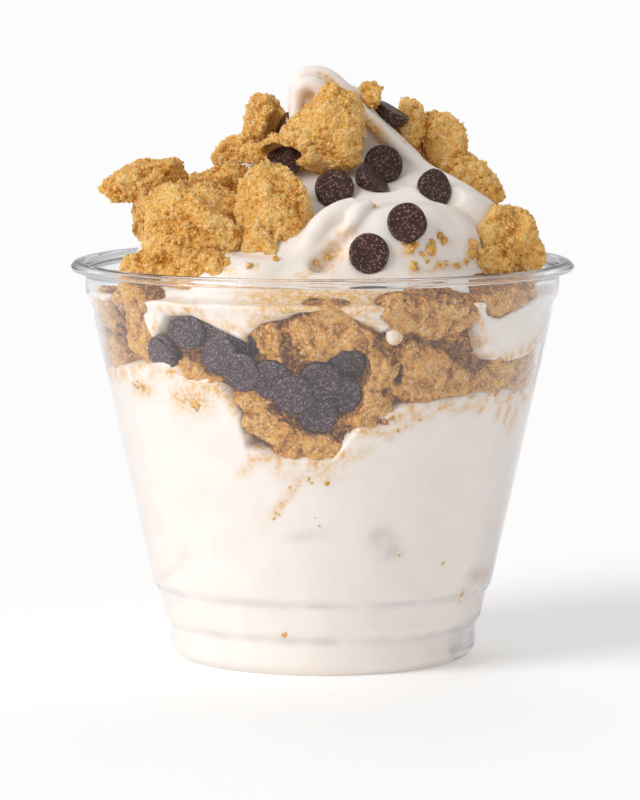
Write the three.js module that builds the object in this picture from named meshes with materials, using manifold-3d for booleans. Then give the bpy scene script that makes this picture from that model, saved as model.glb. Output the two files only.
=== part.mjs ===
// A soft-serve sundae in a clear squat dessert cup: soft serve below, a layer of cookie-dough lumps and
// chocolate chips across the middle, and a swirl of soft serve on top that carries more dough and chips.
// Millimetres, +Z up. The origin is the centre of the circle that the cup's foot stands on, and the side
// of the sundae with the most chips faces -Y.
import * as THREE from "three";
import { mergeVertices } from "three/addons/utils/BufferGeometryUtils.js";
import Module from "manifold-3d";

const wasm = await Module();
wasm.setup();

// Driving dimensions.
const RIM_RADIUS = 49; // outside of the rolled rim
const CUP_HEIGHT = 77.4;
const FOOT_RADIUS = 29.8;
const WALL = 0.6;
const BASE_RECESS = 1.4; // how far the middle of the base stands off the table
const GAP = 0.3; // left between two pieces that touch
const PRESS_GAP = 0.4; // added round a piece before its neighbour is cut by it
const CUP_FACETS = 36;
const CHIP = { radius: 3.8, height: 5.2, facets: 10, open: 2 };
const LAYER = { low: 55, high: 66, ragged: 38, past: 47, facets: 48 }; // the middle layer's slab
const TOP_OF_FILL = 72; // where the top serve leaves the wall
const SWIRL_TOP = 115.2;
const SWIRL_STEP = 2.4; // height of one row of the swirl's surface
const BLEND = 0.5; // how softly one rope runs into the next
const CLEAN = 0.1; // how far a surface may move when slivers are cleaned away after a cut

const COLOURS = {
  plastic: new THREE.Color(0.86, 0.88, 0.9),
  softServe: new THREE.Color(0.96, 0.93, 0.88),
  dough: new THREE.Color(0.8, 0.52, 0.22),
  chocolate: new THREE.Color(0.09, 0.04, 0.03),
};

// The wall, from the foot to under the rim: [outside radius, height].
const WALL_OUTSIDE = [
  [FOOT_RADIUS - 1.6, 0],
  [FOOT_RADIUS, 1.8],
  [FOOT_RADIUS, 6],
  [31, 8],
  [31.9, 12.5],
  [33.1, 14.6],
  [43.7, 63],
  [44.9, 69.4],
  [45.9, 71],
  [46.1, 74.6],
];

// ---- small helpers ----

const radians = THREE.MathUtils.degToRad;

/** A repeatable source of numbers from 0 to 1. */
function randomFrom(seed) {
  let state = seed >>> 0;
  return () => {
    state = (Math.imul(1664525, state) + 1013904223) >>> 0;
    return state / 4294967296;
  };
}

/** A random direction, spread evenly over the sphere. */
function randomDirection(random) {
  const z = 2 * random() - 1;
  const around = 2 * Math.PI * random();
  const flat = Math.sqrt(1 - z * z);
  return new THREE.Vector3(flat * Math.cos(around), flat * Math.sin(around), z);
}

/** The height or radius at x on a polyline of [value, x] pairs, with x rising. */
function along(pairs, x) {
  const next = pairs.findIndex(([, at]) => at > x);
  if (next === 0) return pairs[0][0];
  if (next < 0) return pairs.at(-1)[0];
  const [a, from] = pairs[next - 1];
  const [b, to] = pairs[next];
  return THREE.MathUtils.mapLinear(x, from, to, a, b);
}

/** The inside radius of the cup at a height. */
const insideRadius = (z) => along(WALL_OUTSIDE, z) - WALL;

/** A point given by its angle from the front, towards +X, its distance from the axis, and its height. */
function polar(degrees, radius, z) {
  const turn = radians(degrees);
  return new THREE.Vector3(radius * Math.sin(turn), -radius * Math.cos(turn), z);
}

// ---- geometry and solids ----

/** A closed geometry as a solid that can be cut and joined. */
function solidOf(geometry) {
  const bare = new THREE.BufferGeometry().setAttribute("position", geometry.getAttribute("position"));
  const merged = mergeVertices(bare.setIndex(geometry.index), 1e-4);
  const triVerts = new Uint32Array(merged.index.array);
  return new wasm.Manifold(
    new wasm.Mesh({ numProp: 3, vertProperties: merged.getAttribute("position").array, triVerts }),
  );
}

/** A solid as a geometry that a mesh can show. */
function geometryOf(solid) {
  const { numProp, vertProperties, triVerts } = solid.asOriginal().simplify(CLEAN).getMesh();
  const position = new Float32Array((vertProperties.length / numProp) * 3);
  for (let i = 0; i * 3 < position.length; i++) {
    position.set(vertProperties.subarray(i * numProp, i * numProp + 3), i * 3);
  }
  const geometry = new THREE.BufferGeometry();
  geometry.setAttribute("position", new THREE.BufferAttribute(position, 3));
  geometry.setIndex(new THREE.BufferAttribute(new Uint32Array(triVerts), 1));
  geometry.computeVertexNormals();
  return geometry;
}

/** The largest connected piece of a solid: loose scraps that a cut left are dropped. */
function largest(solid) {
  return solid.decompose().reduce((a, b) => (a.volume() > b.volume() ? a : b));
}

/** All the solids of a list as one. */
const joined = (solids) => solids.reduce((a, b) => a.add(b));

/** A solid of revolution about Z, from a profile of [radius, height] that starts and ends on the axis. */
function revolve(profile, facets = CUP_FACETS) {
  const points = profile.map(([radius, z]) => new THREE.Vector2(radius, z));
  return new THREE.LatheGeometry(points, facets).rotateX(Math.PI / 2);
}

/** A closed skin over rings of points, from one pole to the other. */
function skin(rings, startPole, endPole) {
  const count = rings[0].length;
  const points = [startPole, ...rings.flat(), endPole];
  const last = points.length - 1;
  const index = [];
  for (let i = 0; i < count; i++) {
    const j = (i + 1) % count;
    index.push(0, 1 + j, 1 + i);
    for (let ring = 0; ring < rings.length - 1; ring++) {
      const a = 1 + ring * count;
      const b = a + count;
      index.push(a + i, a + j, b + j, a + i, b + j, b + i);
    }
    index.push(last, last - count + i, last - count + j);
  }
  return new THREE.BufferGeometry().setFromPoints(points).setIndex(index);
}

// ---- sub-parts ----

/** The clear cup: a stepped, tapered wall with a rolled rim, and a base that stands on its edge. */
function cupGeometry() {
  const lip = RIM_RADIUS;
  const inside = WALL_OUTSIDE.slice(1).map(([radius, z]) => [radius - WALL, z + 0.4 * WALL]);
  return revolve([
    [0, BASE_RECESS],
    [FOOT_RADIUS - 5, BASE_RECESS],
    [FOOT_RADIUS - 4, 0],
    ...WALL_OUTSIDE,
    [lip - 2.2, 76.4],
    [lip - 1.1, 76.6],
    [lip - 1, 75.4],
    [lip - 0.3, 75.4],
    [lip, 76.3],
    [lip - 1.2, CUP_HEIGHT],
    [lip - 3, CUP_HEIGHT - 0.4],
    ...inside.reverse(),
    [FOOT_RADIUS - 4, BASE_RECESS + WALL],
    [0, BASE_RECESS + WALL],
  ]);
}

/** Everything inside the cup between two heights, clear of the wall. */
function cupContents(low, high) {
  const heights = WALL_OUTSIDE.map(([, z]) => z + 0.4 * WALL).filter((z) => z > low && z < high);
  const side = [low, ...heights, high].map((z) => [insideRadius(z - 0.4 * WALL) - GAP, z]);
  return revolve([[0, low], ...side, [0, high]]);
}

/** A slab on a polar grid, between two surfaces that are functions of the angle and the radius. */
function slab(radii, lowAt, highAt, facets) {
  const angles = Array.from({ length: facets }, (_, i) => (360 * i) / facets);
  const ring = (heightAt) => (radius) => angles.map((degrees) => polar(degrees, radius, heightAt(degrees, radius)));
  const rings = [...radii.map(ring(lowAt)), ...radii.toReversed().map(ring(highAt))];
  return skin(rings, new THREE.Vector3(0, 0, lowAt(0, 0)), new THREE.Vector3(0, 0, highAt(0, 0)));
}

/** The balls that make up a rope of soft serve through stations [x, y, z, radius]. */
function ropeBalls(stations) {
  const path = new THREE.CatmullRomCurve3(stations.map(([x, y, z]) => new THREE.Vector3(x, y, z)));
  const girth = new THREE.CatmullRomCurve3(stations.map(([, , , r]) => new THREE.Vector3(r, 0, 0)));
  const steps = Math.ceil(path.getLength() / 1.2);
  return Array.from({ length: steps + 1 }, (_, step) => {
    const share = step / steps;
    return { centre: path.getPoint(share), radius: girth.getPoint(share).x };
  });
}

/** A bent bar that follows the wall, behind [angle, height] points, at a depth in from the wall. */
function band(points, { depth, thick, tall, grow = 0 }) {
  const ring = ([degrees, z]) => {
    const middle = insideRadius(z) - depth - thick / 2;
    return [
      [1, 1],
      [1, -1],
      [-1, -1],
      [-1, 1],
    ].map(([out, up]) => polar(degrees, middle + out * (thick / 2 + grow), z + up * (tall / 2 + grow)));
  };
  const past = (grow / 40) * (180 / Math.PI);
  const placed = points.map(([degrees, z], i) => {
    const end = i === 0 ? -past : i === points.length - 1 ? past : 0;
    return [degrees + end, z];
  });
  const pole = ([degrees, z]) => polar(degrees, insideRadius(z) - depth - thick / 2, z);
  return skin(placed.map(ring), pole(placed[0]), pole(placed.at(-1)));
}

/** A broken lump of cookie dough: a wavy ball cut by flat break faces, at its full size, then rolled about Y. */
function lump({ at, size, seed, roll = 0, grow = 0, coarse = false }) {
  const random = randomFrom(seed);
  const waves = Array.from({ length: 4 }, () => ({
    direction: randomDirection(random).multiplyScalar(2 + 3 * random()),
    shift: 2 * Math.PI * random(),
  }));
  const breaks = Array.from({ length: 9 }, () => ({
    direction: randomDirection(random),
    depth: 0.64 + 0.22 * random(),
  }));
  const geometry = coarse ? new THREE.DodecahedronGeometry(1) : new THREE.IcosahedronGeometry(1, 1);
  const position = geometry.getAttribute("position");
  const point = new THREE.Vector3();
  const box = new THREE.Box3();
  for (let i = 0; i < position.count; i++) {
    point.fromBufferAttribute(position, i).normalize();
    let radius = 1;
    for (const { direction, shift } of waves) radius += 0.05 * Math.sin(direction.dot(point) + shift);
    for (const { direction, depth } of breaks) {
      const facing = direction.dot(point);
      if (facing > 0.2) radius = Math.min(radius, depth / facing);
    }
    position.setXYZ(i, point.x * radius, point.y * radius, point.z * radius);
    box.expandByPoint(point.multiplyScalar(radius));
  }
  const extent = box.getSize(new THREE.Vector3());
  const middle = box.getCenter(new THREE.Vector3());
  geometry.translate(-middle.x, -middle.y, -middle.z);
  geometry.scale(...size.map((wanted, axis) => (wanted + 2 * grow) / extent.getComponent(axis)));
  return geometry.rotateY(radians(roll)).translate(...at);
}

/**
 * A chocolate chip: a flat round base at a point, with the rest of the drop pointing along an axis. Grown, it
 * is the hollow that the chip lies in, which stays open in front of the flat base.
 */
function chip({ at, axis, grow = 0, facets = CHIP.facets }) {
  const wide = CHIP.radius + grow;
  const tall = CHIP.height + grow;
  const geometry = revolve(
    [
      [0, grow ? -CHIP.open : 0],
      [0.92 * wide, grow ? -CHIP.open : 0],
      [wide, 0.2 * tall],
      [0.62 * wide, 0.6 * tall],
      [0, tall],
    ],
    facets,
  );
  const turn = new THREE.Quaternion().setFromUnitVectors(
    new THREE.Vector3(0, 0, 1),
    new THREE.Vector3(...axis).normalize(),
  );
  return geometry.applyQuaternion(turn).translate(...at);
}

// ---- where the pieces lie ----

// The edges of the middle layer at the wall, all the way round: [height, angle].
const LAYER_UNDERSIDE = [
  [52.5, -180],
  [55.5, -150],
  [51, -120],
  [55, -85],
  [58, -60],
  [58.6, -45],
  [57, -33],
  [53.5, -26],
  [47, -21],
  [44, -12],
  [44.5, 4],
  [49, 10],
  [51.6, 24],
  [53, 46],
  [53.5, 70],
  [51.5, 100],
  [54.5, 130],
  [50.5, 155],
  [52.5, 180],
];
const LAYER_TOP = [
  [66, -180],
  [62.5, -145],
  [66, -105],
  [65, -80],
  [67.5, -58],
  [66, -48],
  [67.5, -40],
  [66.5, -28],
  [64.5, -18],
  [66, -8],
  [66, 10],
  [64.5, 15],
  [67, 22],
  [67.5, 39],
  [61.5, 46],
  [60, 64],
  [66, 75],
  [63, 110],
  [66.5, 145],
  [66, 180],
];

// Dough lumps of the middle layer that show through the wall: [angle, height, width, tall].
const WALL_LUMPS = [
  [-55, 70.4, 14, 8],
  [-54, 63, 11, 12],
  [-35, 56.5, 12, 8],
  [-14, 65.2, 10, 10.6],
  [2.7, 66.6, 17, 13],
  [-20, 51, 9, 10],
  [-5, 45.6, 18.5, 10.4],
  [10, 52, 13, 12],
  [19, 69, 8, 8],
  [32, 68.6, 17, 11.6],
  [33, 56.4, 19, 10.6],
  [53, 57.2, 15, 9.6],
  [54, 71.4, 18, 8.4],
  [72, 55, 13, 9],
];
const BACK_LUMPS = { count: 9, from: 96, to: 280, middle: 59, swing: 5.4, size: 16, seed: 41 };

// Chocolate chips in the middle layer: [angle, height, lean], leaning from flat against the wall, and the
// line of the bar behind them that holds each bed together.
const CHIP_BEDS = {
  chips_front: {
    chips: [
      [-45.4, 61.6, 0.05],
      [-36.6, 66.2, 0.05],
      [-28.4, 62.4, -0.1],
      [-22.4, 65.6, 0.7],
      [-21.6, 58.6, 0.1],
      [-13, 57.8, 0.1],
      [-7.8, 53.8, 0.05],
      [-0.6, 58.6, 0.1],
      [1.4, 51.6, 0.15],
      [7.8, 60.6, 0.5],
    ],
    bar: [
      [-46, 62.6],
      [-34, 64.4],
      [-24, 62],
      [-14, 58.4],
      [-4, 56],
      [8, 58.4],
    ],
  },
  chips_side: {
    chips: [
      [21, 58.6, 0.1],
      [30.6, 63.8, 0.1],
    ],
    bar: [
      [19, 58.6],
      [25, 61.4],
      [32, 63.8],
    ],
  },
  chips_back: {
    chips: [
      [150, 62, 0.2],
      [160, 64.5, -0.3],
      [170, 61, 0.4],
      [180, 64, 0.1],
    ],
    bar: [
      [149, 62.6],
      [160, 63.4],
      [170, 62.4],
      [181, 63],
    ],
  },
};
const BAR = { depth: 3.6, thick: 3, tall: 6 };

// Ropes of the swirl on top, laid from the peak down and round: stations [x, y, z, radius].
const SWIRL = [
  [
    [-6, -2, 100, 1.7],
    [-5.2, -3, 105.6, 1.6],
    [-4.9, -3.4, 109.2, 1.9],
    [-3.2, -3.4, 111.4, 2.6],
    [-0.4, -3.2, 112.2, 3],
    [2.8, -2.8, 110.9, 3],
    [5.9, -2.4, 106.8, 3.2],
    [9.2, -2.4, 100.6, 3.9],
    [13, -3.4, 94.2, 4.8],
    [18.6, -5.4, 88.4, 5.8],
    [25, -8, 84.6, 5.4],
    [30.2, -10.4, 82.8, 4],
  ],
  [
    [-4, -23, 81, 6],
    [5, -24.6, 81.2, 7.6],
    [14, -24.4, 82.2, 8.8],
    [21.6, -20.4, 80.4, 9],
    [27.4, -13, 78, 8],
  ],
  [
    [4.4, -26.4, 86, 3],
    [1.6, -29.4, 82.4, 4],
    [-3, -32, 78.6, 4.6],
    [-10, -32.6, 76.2, 4.8],
    [-19, -28.6, 75, 5.6],
  ],
  [
    [9.4, -27.6, 88, 2.6],
    [7.4, -30.8, 84.6, 2.4],
    [6.6, -32, 81, 2.2],
  ],
  [
    [-19, -28.6, 75, 5.6],
    [-28, -14, 76, 5.6],
    [-29, 4, 77.2, 6.4],
    [-24, 20, 78, 7.4],
    [-12, 29, 78.8, 8],
    [6, 30, 79.4, 8],
    [20, 23, 79.4, 8],
    [27, 8, 78.6, 7.4],
  ],
  [
    [9, 5, 95.6, 4.8],
    [15.6, 8, 92.6, 5.4],
    [22, 9, 88.8, 5.6],
    [28, 5, 85, 5],
  ],
  [
    [-9, -11, 89.6, 4.8],
    [-14, -2, 90.6, 5.2],
    [-12.6, 10, 91.6, 6],
    [-1, 16, 92.4, 6.8],
    [11, 12, 92.6, 6.8],
  ],
  [
    [-4.4, -5, 98.4, 3.4],
    [-6.2, 2, 99.2, 3.6],
    [0, 7, 100.2, 4.4],
    [5.4, 3, 101, 4.2],
  ],
];

// The mound under the ropes, above the fill: [radius, height].
const MOUND = [
  [41, 73.6],
  [37.8, 76.6],
  [34, 80.2],
  [28, 84],
  [21, 88],
  [14, 93],
  [9, 98.6],
  [5.6, 103.6],
  [3, 107.6],
];

// Dough chunks on top: name, then one or two lumps, each with its middle and full size along X, Y and Z,
// its seed, and how far it is rolled about Y, in degrees.
const TOP_CHUNKS = [
  ["left_front", [[-24.2, -22, 84], [19, 16, 19], 3]],
  ["left_low", [[-28.8, -22.8, 77.4], [17, 11, 7.4], 33]],
  ["front", [[-9, -24.4, 88.4], [13.8, 12, 18.4], 8]],
  ["far_left", [[-34.2, -8, 93.2], [15.2, 12, 7], 21, -12], [[-32.6, -9, 87.4], [7, 9, 13.4], 23]],
  ["peak_front", [[1, -11.4, 102.2], [13.4, 11, 17], 5], [[-8.4, -10, 99], [9, 8, 7], 6]],
  ["peak_left", [[-11, 3, 102.8], [8.4, 9, 11.4], 12]],
  ["left_small", [[-17.4, 1, 98], [6.6, 8, 6.4], 17]],
  ["left_sliver", [[-18.8, -8, 93.4], [9.4, 8, 5.6], 30]],
  ["peak_crumb", [[9.3, -1, 108.9], [4, 5, 6], 44]],
  ["peak_right", [[17, 7, 101.6], [6.6, 9, 11.4], 26]],
  ["right_high", [[23.6, 9, 98.4], [8.4, 10, 13.6], 35]],
  ["right_slab", [[29, 4, 91.8], [13, 10, 8.4], 50, 42]],
  ["right_low", [[35.8, -11, 80.8], [11.4, 13.4, 15.6], 61, -22]],
  ["back_left", [[-22, 23, 86.4], [16, 13, 12], 73]],
  ["back", [[-2, 28, 89.6], [13, 12, 12], 79]],
  ["back_right", [[19, 27, 86.6], [14, 12, 10], 85]],
];

// Chips on top: name, middle of the flat base, and the way that the tip points.
const TOP_CHIPS = [
  ["crease", [2.2, -18.6, 92.2], [0.05, 1, -0.25]],
  ["leaning", [10.2, -14.6, 94], [-0.72, 0.3, -0.62]],
  ["high", [11.8, -10.2, 96.4], [-0.25, 0.95, -0.3]],
  ["right", [21.8, -14, 92], [-0.62, 0.72, -0.2]],
  ["middle", [15.8, -33.4, 86.8], [-0.1, 1, -0.3]],
  ["low", [8.6, -35.4, 81.1], [0, 1, -0.14]],
  ["behind_ridge", [13.6, 1.4, 106.4], [-0.5, 0.1, -0.86]],
  ["peak_left", [-8.2, -1, 102.6], [0.9, 0.2, -0.4]],
  ["between", [-7.2, -12, 97.4], [0.1, 0.3, -0.95]],
  ["far_left", [-33.4, -14, 84.3], [0.96, 0.3, 0]],
  ["back_high", [-7, 20, 98.4], [0.1, -0.8, -0.6]],
  ["back_low", [11, 36, 85], [-0.2, -0.9, -0.4]],
];

// ---- the middle layer ----

const turned = (degrees) => THREE.MathUtils.euclideanModulo(degrees + 180, 360) - 180;

/** The slab that the middle layer is built on: flat in the middle of the cup, with ragged edges at the wall. */
function layerSlab(grow = 0) {
  const edge = (pairs, flat) => (degrees, radius) =>
    radius < LAYER.ragged ? flat : along(pairs, turned(degrees));
  const low = edge(LAYER_UNDERSIDE, LAYER.low);
  const high = edge(LAYER_TOP, LAYER.high);
  return slab(
    [LAYER.ragged - 8, LAYER.ragged, LAYER.past],
    (degrees, radius) => low(degrees, radius) - grow,
    (degrees, radius) => high(degrees, radius) + grow,
    LAYER.facets,
  );
}

/** The lumps that are fused to the slab and pressed flat against the wall. */
function layerLumps(grow = 0) {
  const random = randomFrom(BACK_LUMPS.seed);
  const back = Array.from({ length: BACK_LUMPS.count }, (_, i) => {
    const share = (i + 0.5) / BACK_LUMPS.count;
    const size = BACK_LUMPS.size * (0.8 + 0.4 * random());
    return [
      THREE.MathUtils.lerp(BACK_LUMPS.from, BACK_LUMPS.to, share),
      BACK_LUMPS.middle + BACK_LUMPS.swing * (i % 2 ? 1 : -1) * (0.7 + 0.5 * random()),
      size,
      size * (0.7 + 0.2 * random()),
    ];
  });
  return [...WALL_LUMPS, ...back].map(([degrees, z, width, tall], i) => {
    const deep = 0.5 * (width + tall);
    const at = polar(0, insideRadius(z) - 0.1 * deep, z).toArray();
    const geometry = lump({ at, size: [width, deep, tall], seed: 100 + 7 * i, grow, coarse: true });
    return geometry.rotateZ(radians(degrees));
  });
}

/** Chips of the middle layer, lying near the wall with the flat base outwards, tied by the bar behind. */
function chipBed({ chips, bar }, grow = 0) {
  const drops = chips.map(([degrees, z, lean]) => {
    const axis = polar(degrees, -1, 0.22 + lean).add(polar(degrees + 90, 0.6 * lean, 0)).normalize();
    const wallNormal = polar(degrees, 1, -0.22).normalize();
    const tilt = Math.sqrt(1 - axis.dot(wallNormal) ** 2);
    const at = polar(degrees, insideRadius(z) - GAP - 0.1 - 0.8 * CHIP.radius * tilt, z);
    return solidOf(chip({ at: at.toArray(), axis: axis.toArray(), grow, facets: 8 }));
  });
  return joined([solidOf(band(bar, { ...BAR, grow })), ...drops]);
}

// ---- assembly ----

const inside = solidOf(cupContents(BASE_RECESS + WALL + GAP, TOP_OF_FILL + 3.6));
const bedsGrown = joined(Object.values(CHIP_BEDS).map((bed) => chipBed(bed, PRESS_GAP)));
const topPieces = new Map([
  ...TOP_CHUNKS.map(([name, ...lumps]) => [
    "dough_" + name,
    (grow) => joined(lumps.map(([at, size, seed, roll]) => solidOf(lump({ at, size, seed, roll, grow })))),
  ]),
  ...TOP_CHIPS.map(([name, at, axis]) => ["chip_" + name, (grow) => solidOf(chip({ at, axis, grow }))]),
]);
const topGrown = new Map([...topPieces].map(([name, make]) => [name, make(PRESS_GAP)]));

/** How far the surface of the swirl lies from the centre line at an angle and a height. */
function swirlReach(balls, centre, degrees, z) {
  const at = (reach) => polar(degrees, reach, z).add(centre);
  const near = balls.filter(({ centre: middle, radius }) => Math.abs(middle.z - z) < radius + 2);
  const clearance = (point) => {
    const mound = Math.hypot(point.x, point.y) - along(MOUND, z);
    let blended = Math.exp(-mound / BLEND);
    for (const { centre: middle, radius } of near) {
      blended += Math.exp((radius - middle.distanceTo(point)) / BLEND);
    }
    return -BLEND * Math.log(blended);
  };
  let reach = RIM_RADIUS;
  while (reach > 0.4 && clearance(at(reach)) > 0) reach -= 0.25;
  return reach;
}

/** All the soft serve in one: what fills the cup, the mound, and the ropes of the swirl. */
function serveSkin() {
  const angles = Array.from({ length: CUP_FACETS }, (_, i) => (360 * i) / CUP_FACETS);
  const floor = BASE_RECESS + WALL + GAP;
  const corners = WALL_OUTSIDE.map(([, z]) => z + 0.4 * WALL).filter((z) => z > floor && z < TOP_OF_FILL);
  const fill = [floor, ...corners].map((z) =>
    angles.map((degrees) => polar(degrees, insideRadius(z - 0.4 * WALL) - GAP, z)),
  );
  const balls = SWIRL.flatMap(ropeBalls);
  const rows = Math.round((SWIRL_TOP - TOP_OF_FILL) / SWIRL_STEP);
  const swirl = Array.from({ length: rows }, (_, row) => {
    const z = TOP_OF_FILL + (row + 0.5) * SWIRL_STEP;
    const centre = new THREE.Vector3(0.6, -3 * THREE.MathUtils.smoothstep(z, 96, 108), 0);
    const limit = z < CUP_HEIGHT ? insideRadius(TOP_OF_FILL + 2) - 1.2 : RIM_RADIUS - 3;
    return angles.map((degrees) => {
      const point = polar(degrees, swirlReach(balls, centre, degrees, z), z).add(centre);
      const shrink = Math.min(1, limit / Math.hypot(point.x, point.y));
      return point.multiply(new THREE.Vector3(shrink, shrink, 1));
    });
  });
  return skin([...fill, ...swirl], new THREE.Vector3(0, 0, floor), new THREE.Vector3(0, -3, SWIRL_TOP));
}

const layerGrown = joined([solidOf(layerSlab(PRESS_GAP)), ...layerLumps(PRESS_GAP).map(solidOf)]);
const layer = joined([solidOf(layerSlab()), ...layerLumps().map(solidOf)]).intersect(inside).subtract(bedsGrown);

// The layer parts the serve in two, and the pocket of air is at the foot of the lower one.
const pocket = solidOf(lump({ at: [28.6, -8, 2.6], size: [9, 16, 9], seed: 9, coarse: true }));
const serve = solidOf(serveSkin())
  .subtract(layerGrown)
  .subtract(bedsGrown)
  .subtract(joined([...topGrown.values()]))
  .subtract(pocket)
  .decompose()
  .toSorted((a, b) => b.volume() - a.volume())
  .slice(0, 2)
  .toSorted((a, b) => a.boundingBox().min[2] - b.boundingBox().min[2]);

const materials = {
  plastic: new THREE.MeshStandardMaterial({
    color: COLOURS.plastic,
    roughness: 0.08,
    metalness: 0,
    transparent: true,
    opacity: 0.25,
  }),
  softServe: new THREE.MeshStandardMaterial({ color: COLOURS.softServe, roughness: 0.45, metalness: 0 }),
  dough: new THREE.MeshStandardMaterial({ color: COLOURS.dough, roughness: 0.85, metalness: 0 }),
  chocolate: new THREE.MeshStandardMaterial({ color: COLOURS.chocolate, roughness: 0.5, metalness: 0 }),
};

const sundae = new THREE.Group();

function add(name, geometry, material) {
  const mesh = new THREE.Mesh(geometry, material);
  mesh.name = name;
  sundae.add(mesh);
}

add("cup", cupGeometry(), materials.plastic);
add("soft_serve_lower", geometryOf(serve[0]), materials.softServe);
add("dough_layer", geometryOf(largest(layer)), materials.dough);
for (const [name, bed] of Object.entries(CHIP_BEDS)) {
  add(name, geometryOf(largest(chipBed(bed).intersect(inside))), materials.chocolate);
}
add("soft_serve_upper", geometryOf(serve[1]), materials.softServe);

// A piece on top gives way to those placed before it, so that none crosses another.
let taken = null;
for (const [name, make] of topPieces) {
  const whole = make(0);
  const free = taken ? largest(whole.subtract(taken)) : whole;
  taken = taken ? taken.add(topGrown.get(name)) : topGrown.get(name);
  add(name, geometryOf(free), name.startsWith("chip") ? materials.chocolate : materials.dough);
}

export default sundae;
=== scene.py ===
"""Looks of a soft-serve sundae in a clear squat cup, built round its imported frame.

The cup stands on the origin with +Z up, and the side with the most chips faces -Y. Shapes are made in
millimetres and become metres when they are handed to Blender. Food that is torn, heaped or squeezed is made
as a clearance: a number for each point of space that is negative inside the food, so that forms can melt
into each other, be cut and be roughened before their surface is drawn.
"""

import itertools
import logging
import math
from collections.abc import Callable, Iterable, Sequence
from dataclasses import dataclass, field
from enum import Enum

import bpy
import numpy as np
from bpy.types import Material, Node, NodeSocket, NodeTree
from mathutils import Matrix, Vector
from mathutils.bvhtree import BVHTree

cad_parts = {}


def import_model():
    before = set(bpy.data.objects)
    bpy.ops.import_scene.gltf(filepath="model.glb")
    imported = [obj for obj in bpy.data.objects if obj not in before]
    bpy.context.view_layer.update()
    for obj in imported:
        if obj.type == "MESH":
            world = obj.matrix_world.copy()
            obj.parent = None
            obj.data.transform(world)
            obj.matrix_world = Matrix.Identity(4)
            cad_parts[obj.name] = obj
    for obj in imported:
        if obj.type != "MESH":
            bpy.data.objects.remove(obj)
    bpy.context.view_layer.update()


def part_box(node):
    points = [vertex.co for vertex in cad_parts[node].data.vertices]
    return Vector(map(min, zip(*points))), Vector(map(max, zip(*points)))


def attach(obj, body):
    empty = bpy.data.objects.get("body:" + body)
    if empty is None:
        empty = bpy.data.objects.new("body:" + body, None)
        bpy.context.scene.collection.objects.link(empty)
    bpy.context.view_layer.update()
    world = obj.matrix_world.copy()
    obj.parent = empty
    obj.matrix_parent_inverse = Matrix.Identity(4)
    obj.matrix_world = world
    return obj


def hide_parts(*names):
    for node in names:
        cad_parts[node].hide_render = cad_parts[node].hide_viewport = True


LOG = logging.getLogger("sundae")
MM = 0.001
FAR = 60.0  # a clearance that is outside everything
EYE = (-0.5, -880.0, 147.0)  # where the camera stands

Array = np.ndarray
Point = tuple[float, float, float]
Pairs = tuple[tuple[float, float], ...]
Colour = tuple[float, float, float, float]
Reader = Callable[[Array], Array]  # gives a value for each of a list of points

WALL = 0.6  # thickness of the cup
INSIDE_LIFT = 0.4 * WALL  # how much higher the inside of the wall turns than its outside
REACH = 0.2  # how far the food reaches into the wall, so that no air shows
# The outside of the cup from the foot to under the rim: radius, height.
WALL_OUTSIDE = (
    (28.2, 0.0),
    (29.8, 1.8),
    (29.8, 6.0),
    (31.0, 8.0),
    (31.9, 12.5),
    (33.1, 14.6),
    (43.7, 63.0),
    (44.9, 69.4),
    (45.9, 71.0),
    (46.1, 74.6),
)
WALL_LEAN = 0.22  # how far the wall leans out for each millimetre up
SPAN = 46.6  # half the width of the space that holds the food


class Slot(Enum):
    """The material slots of the record."""

    PLASTIC = "clear_plastic"
    SERVE = "soft_serve"
    DOUGH = "cookie_dough"
    CHOCOLATE = "chocolate"


# ---- numbers and places ----


def inside_radius(z: Array | float) -> Array:
    """The inside radius of the cup at a height."""
    radii, heights = zip(*WALL_OUTSIDE)
    return np.interp(np.asarray(z) - INSIDE_LIFT, heights, radii) - WALL


def polar(degrees: float, radius: float, z: float) -> Array:
    """A point by its angle from the front towards +X, its distance from the axis and its height."""
    turn = math.radians(degrees)
    return np.array([radius * math.sin(turn), -radius * math.cos(turn), z])


def angle_of(points: Array) -> Array:
    """The angle of each point from the front towards +X, in degrees."""
    return np.degrees(np.arctan2(points[..., 0], -points[..., 1]))


def round_the_cup(pairs: Sequence[tuple[float, float]], degrees: Array) -> Array:
    """A value that runs once round the cup.

    Args:
        pairs: Angle and value, with the angle rising from -180 to 180.
        degrees: The angles to read it at.

    Returns:
        The value at each angle.
    """
    angles, values = zip(*pairs)
    return np.interp(degrees, angles, values, period=360)


def melted(a: Array, b: Array, blend: float) -> Array:
    """Two clearances as one form, with the corner between them filled over about the blend."""
    return np.minimum(a, b) - blend * np.log1p(np.exp(-np.abs(a - b) / blend))


def carved(a: Array, b: Array, blend: float) -> Array:
    """The form of clearance a where it lies in b as well, with the new edge rounded."""
    return -melted(-a, -b, blend)


class Draws:
    """A repeatable source of numbers from 0 to 1, the one that shapes the lumps of the frame."""

    def __init__(self, seed: int) -> None:
        """Starts from a seed."""
        self.state = seed

    def number(self) -> float:
        """The next number."""
        self.state = (1664525 * self.state + 1013904223) % 2**32
        return self.state / 2**32

    def direction(self) -> Array:
        """A direction, spread evenly over the sphere.

        Returns:
            A unit vector.
        """
        z = 2 * self.number() - 1
        around = 2 * math.pi * self.number()
        flat = math.sqrt(1 - z * z)
        return np.array([flat * math.cos(around), flat * math.sin(around), z])


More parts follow.
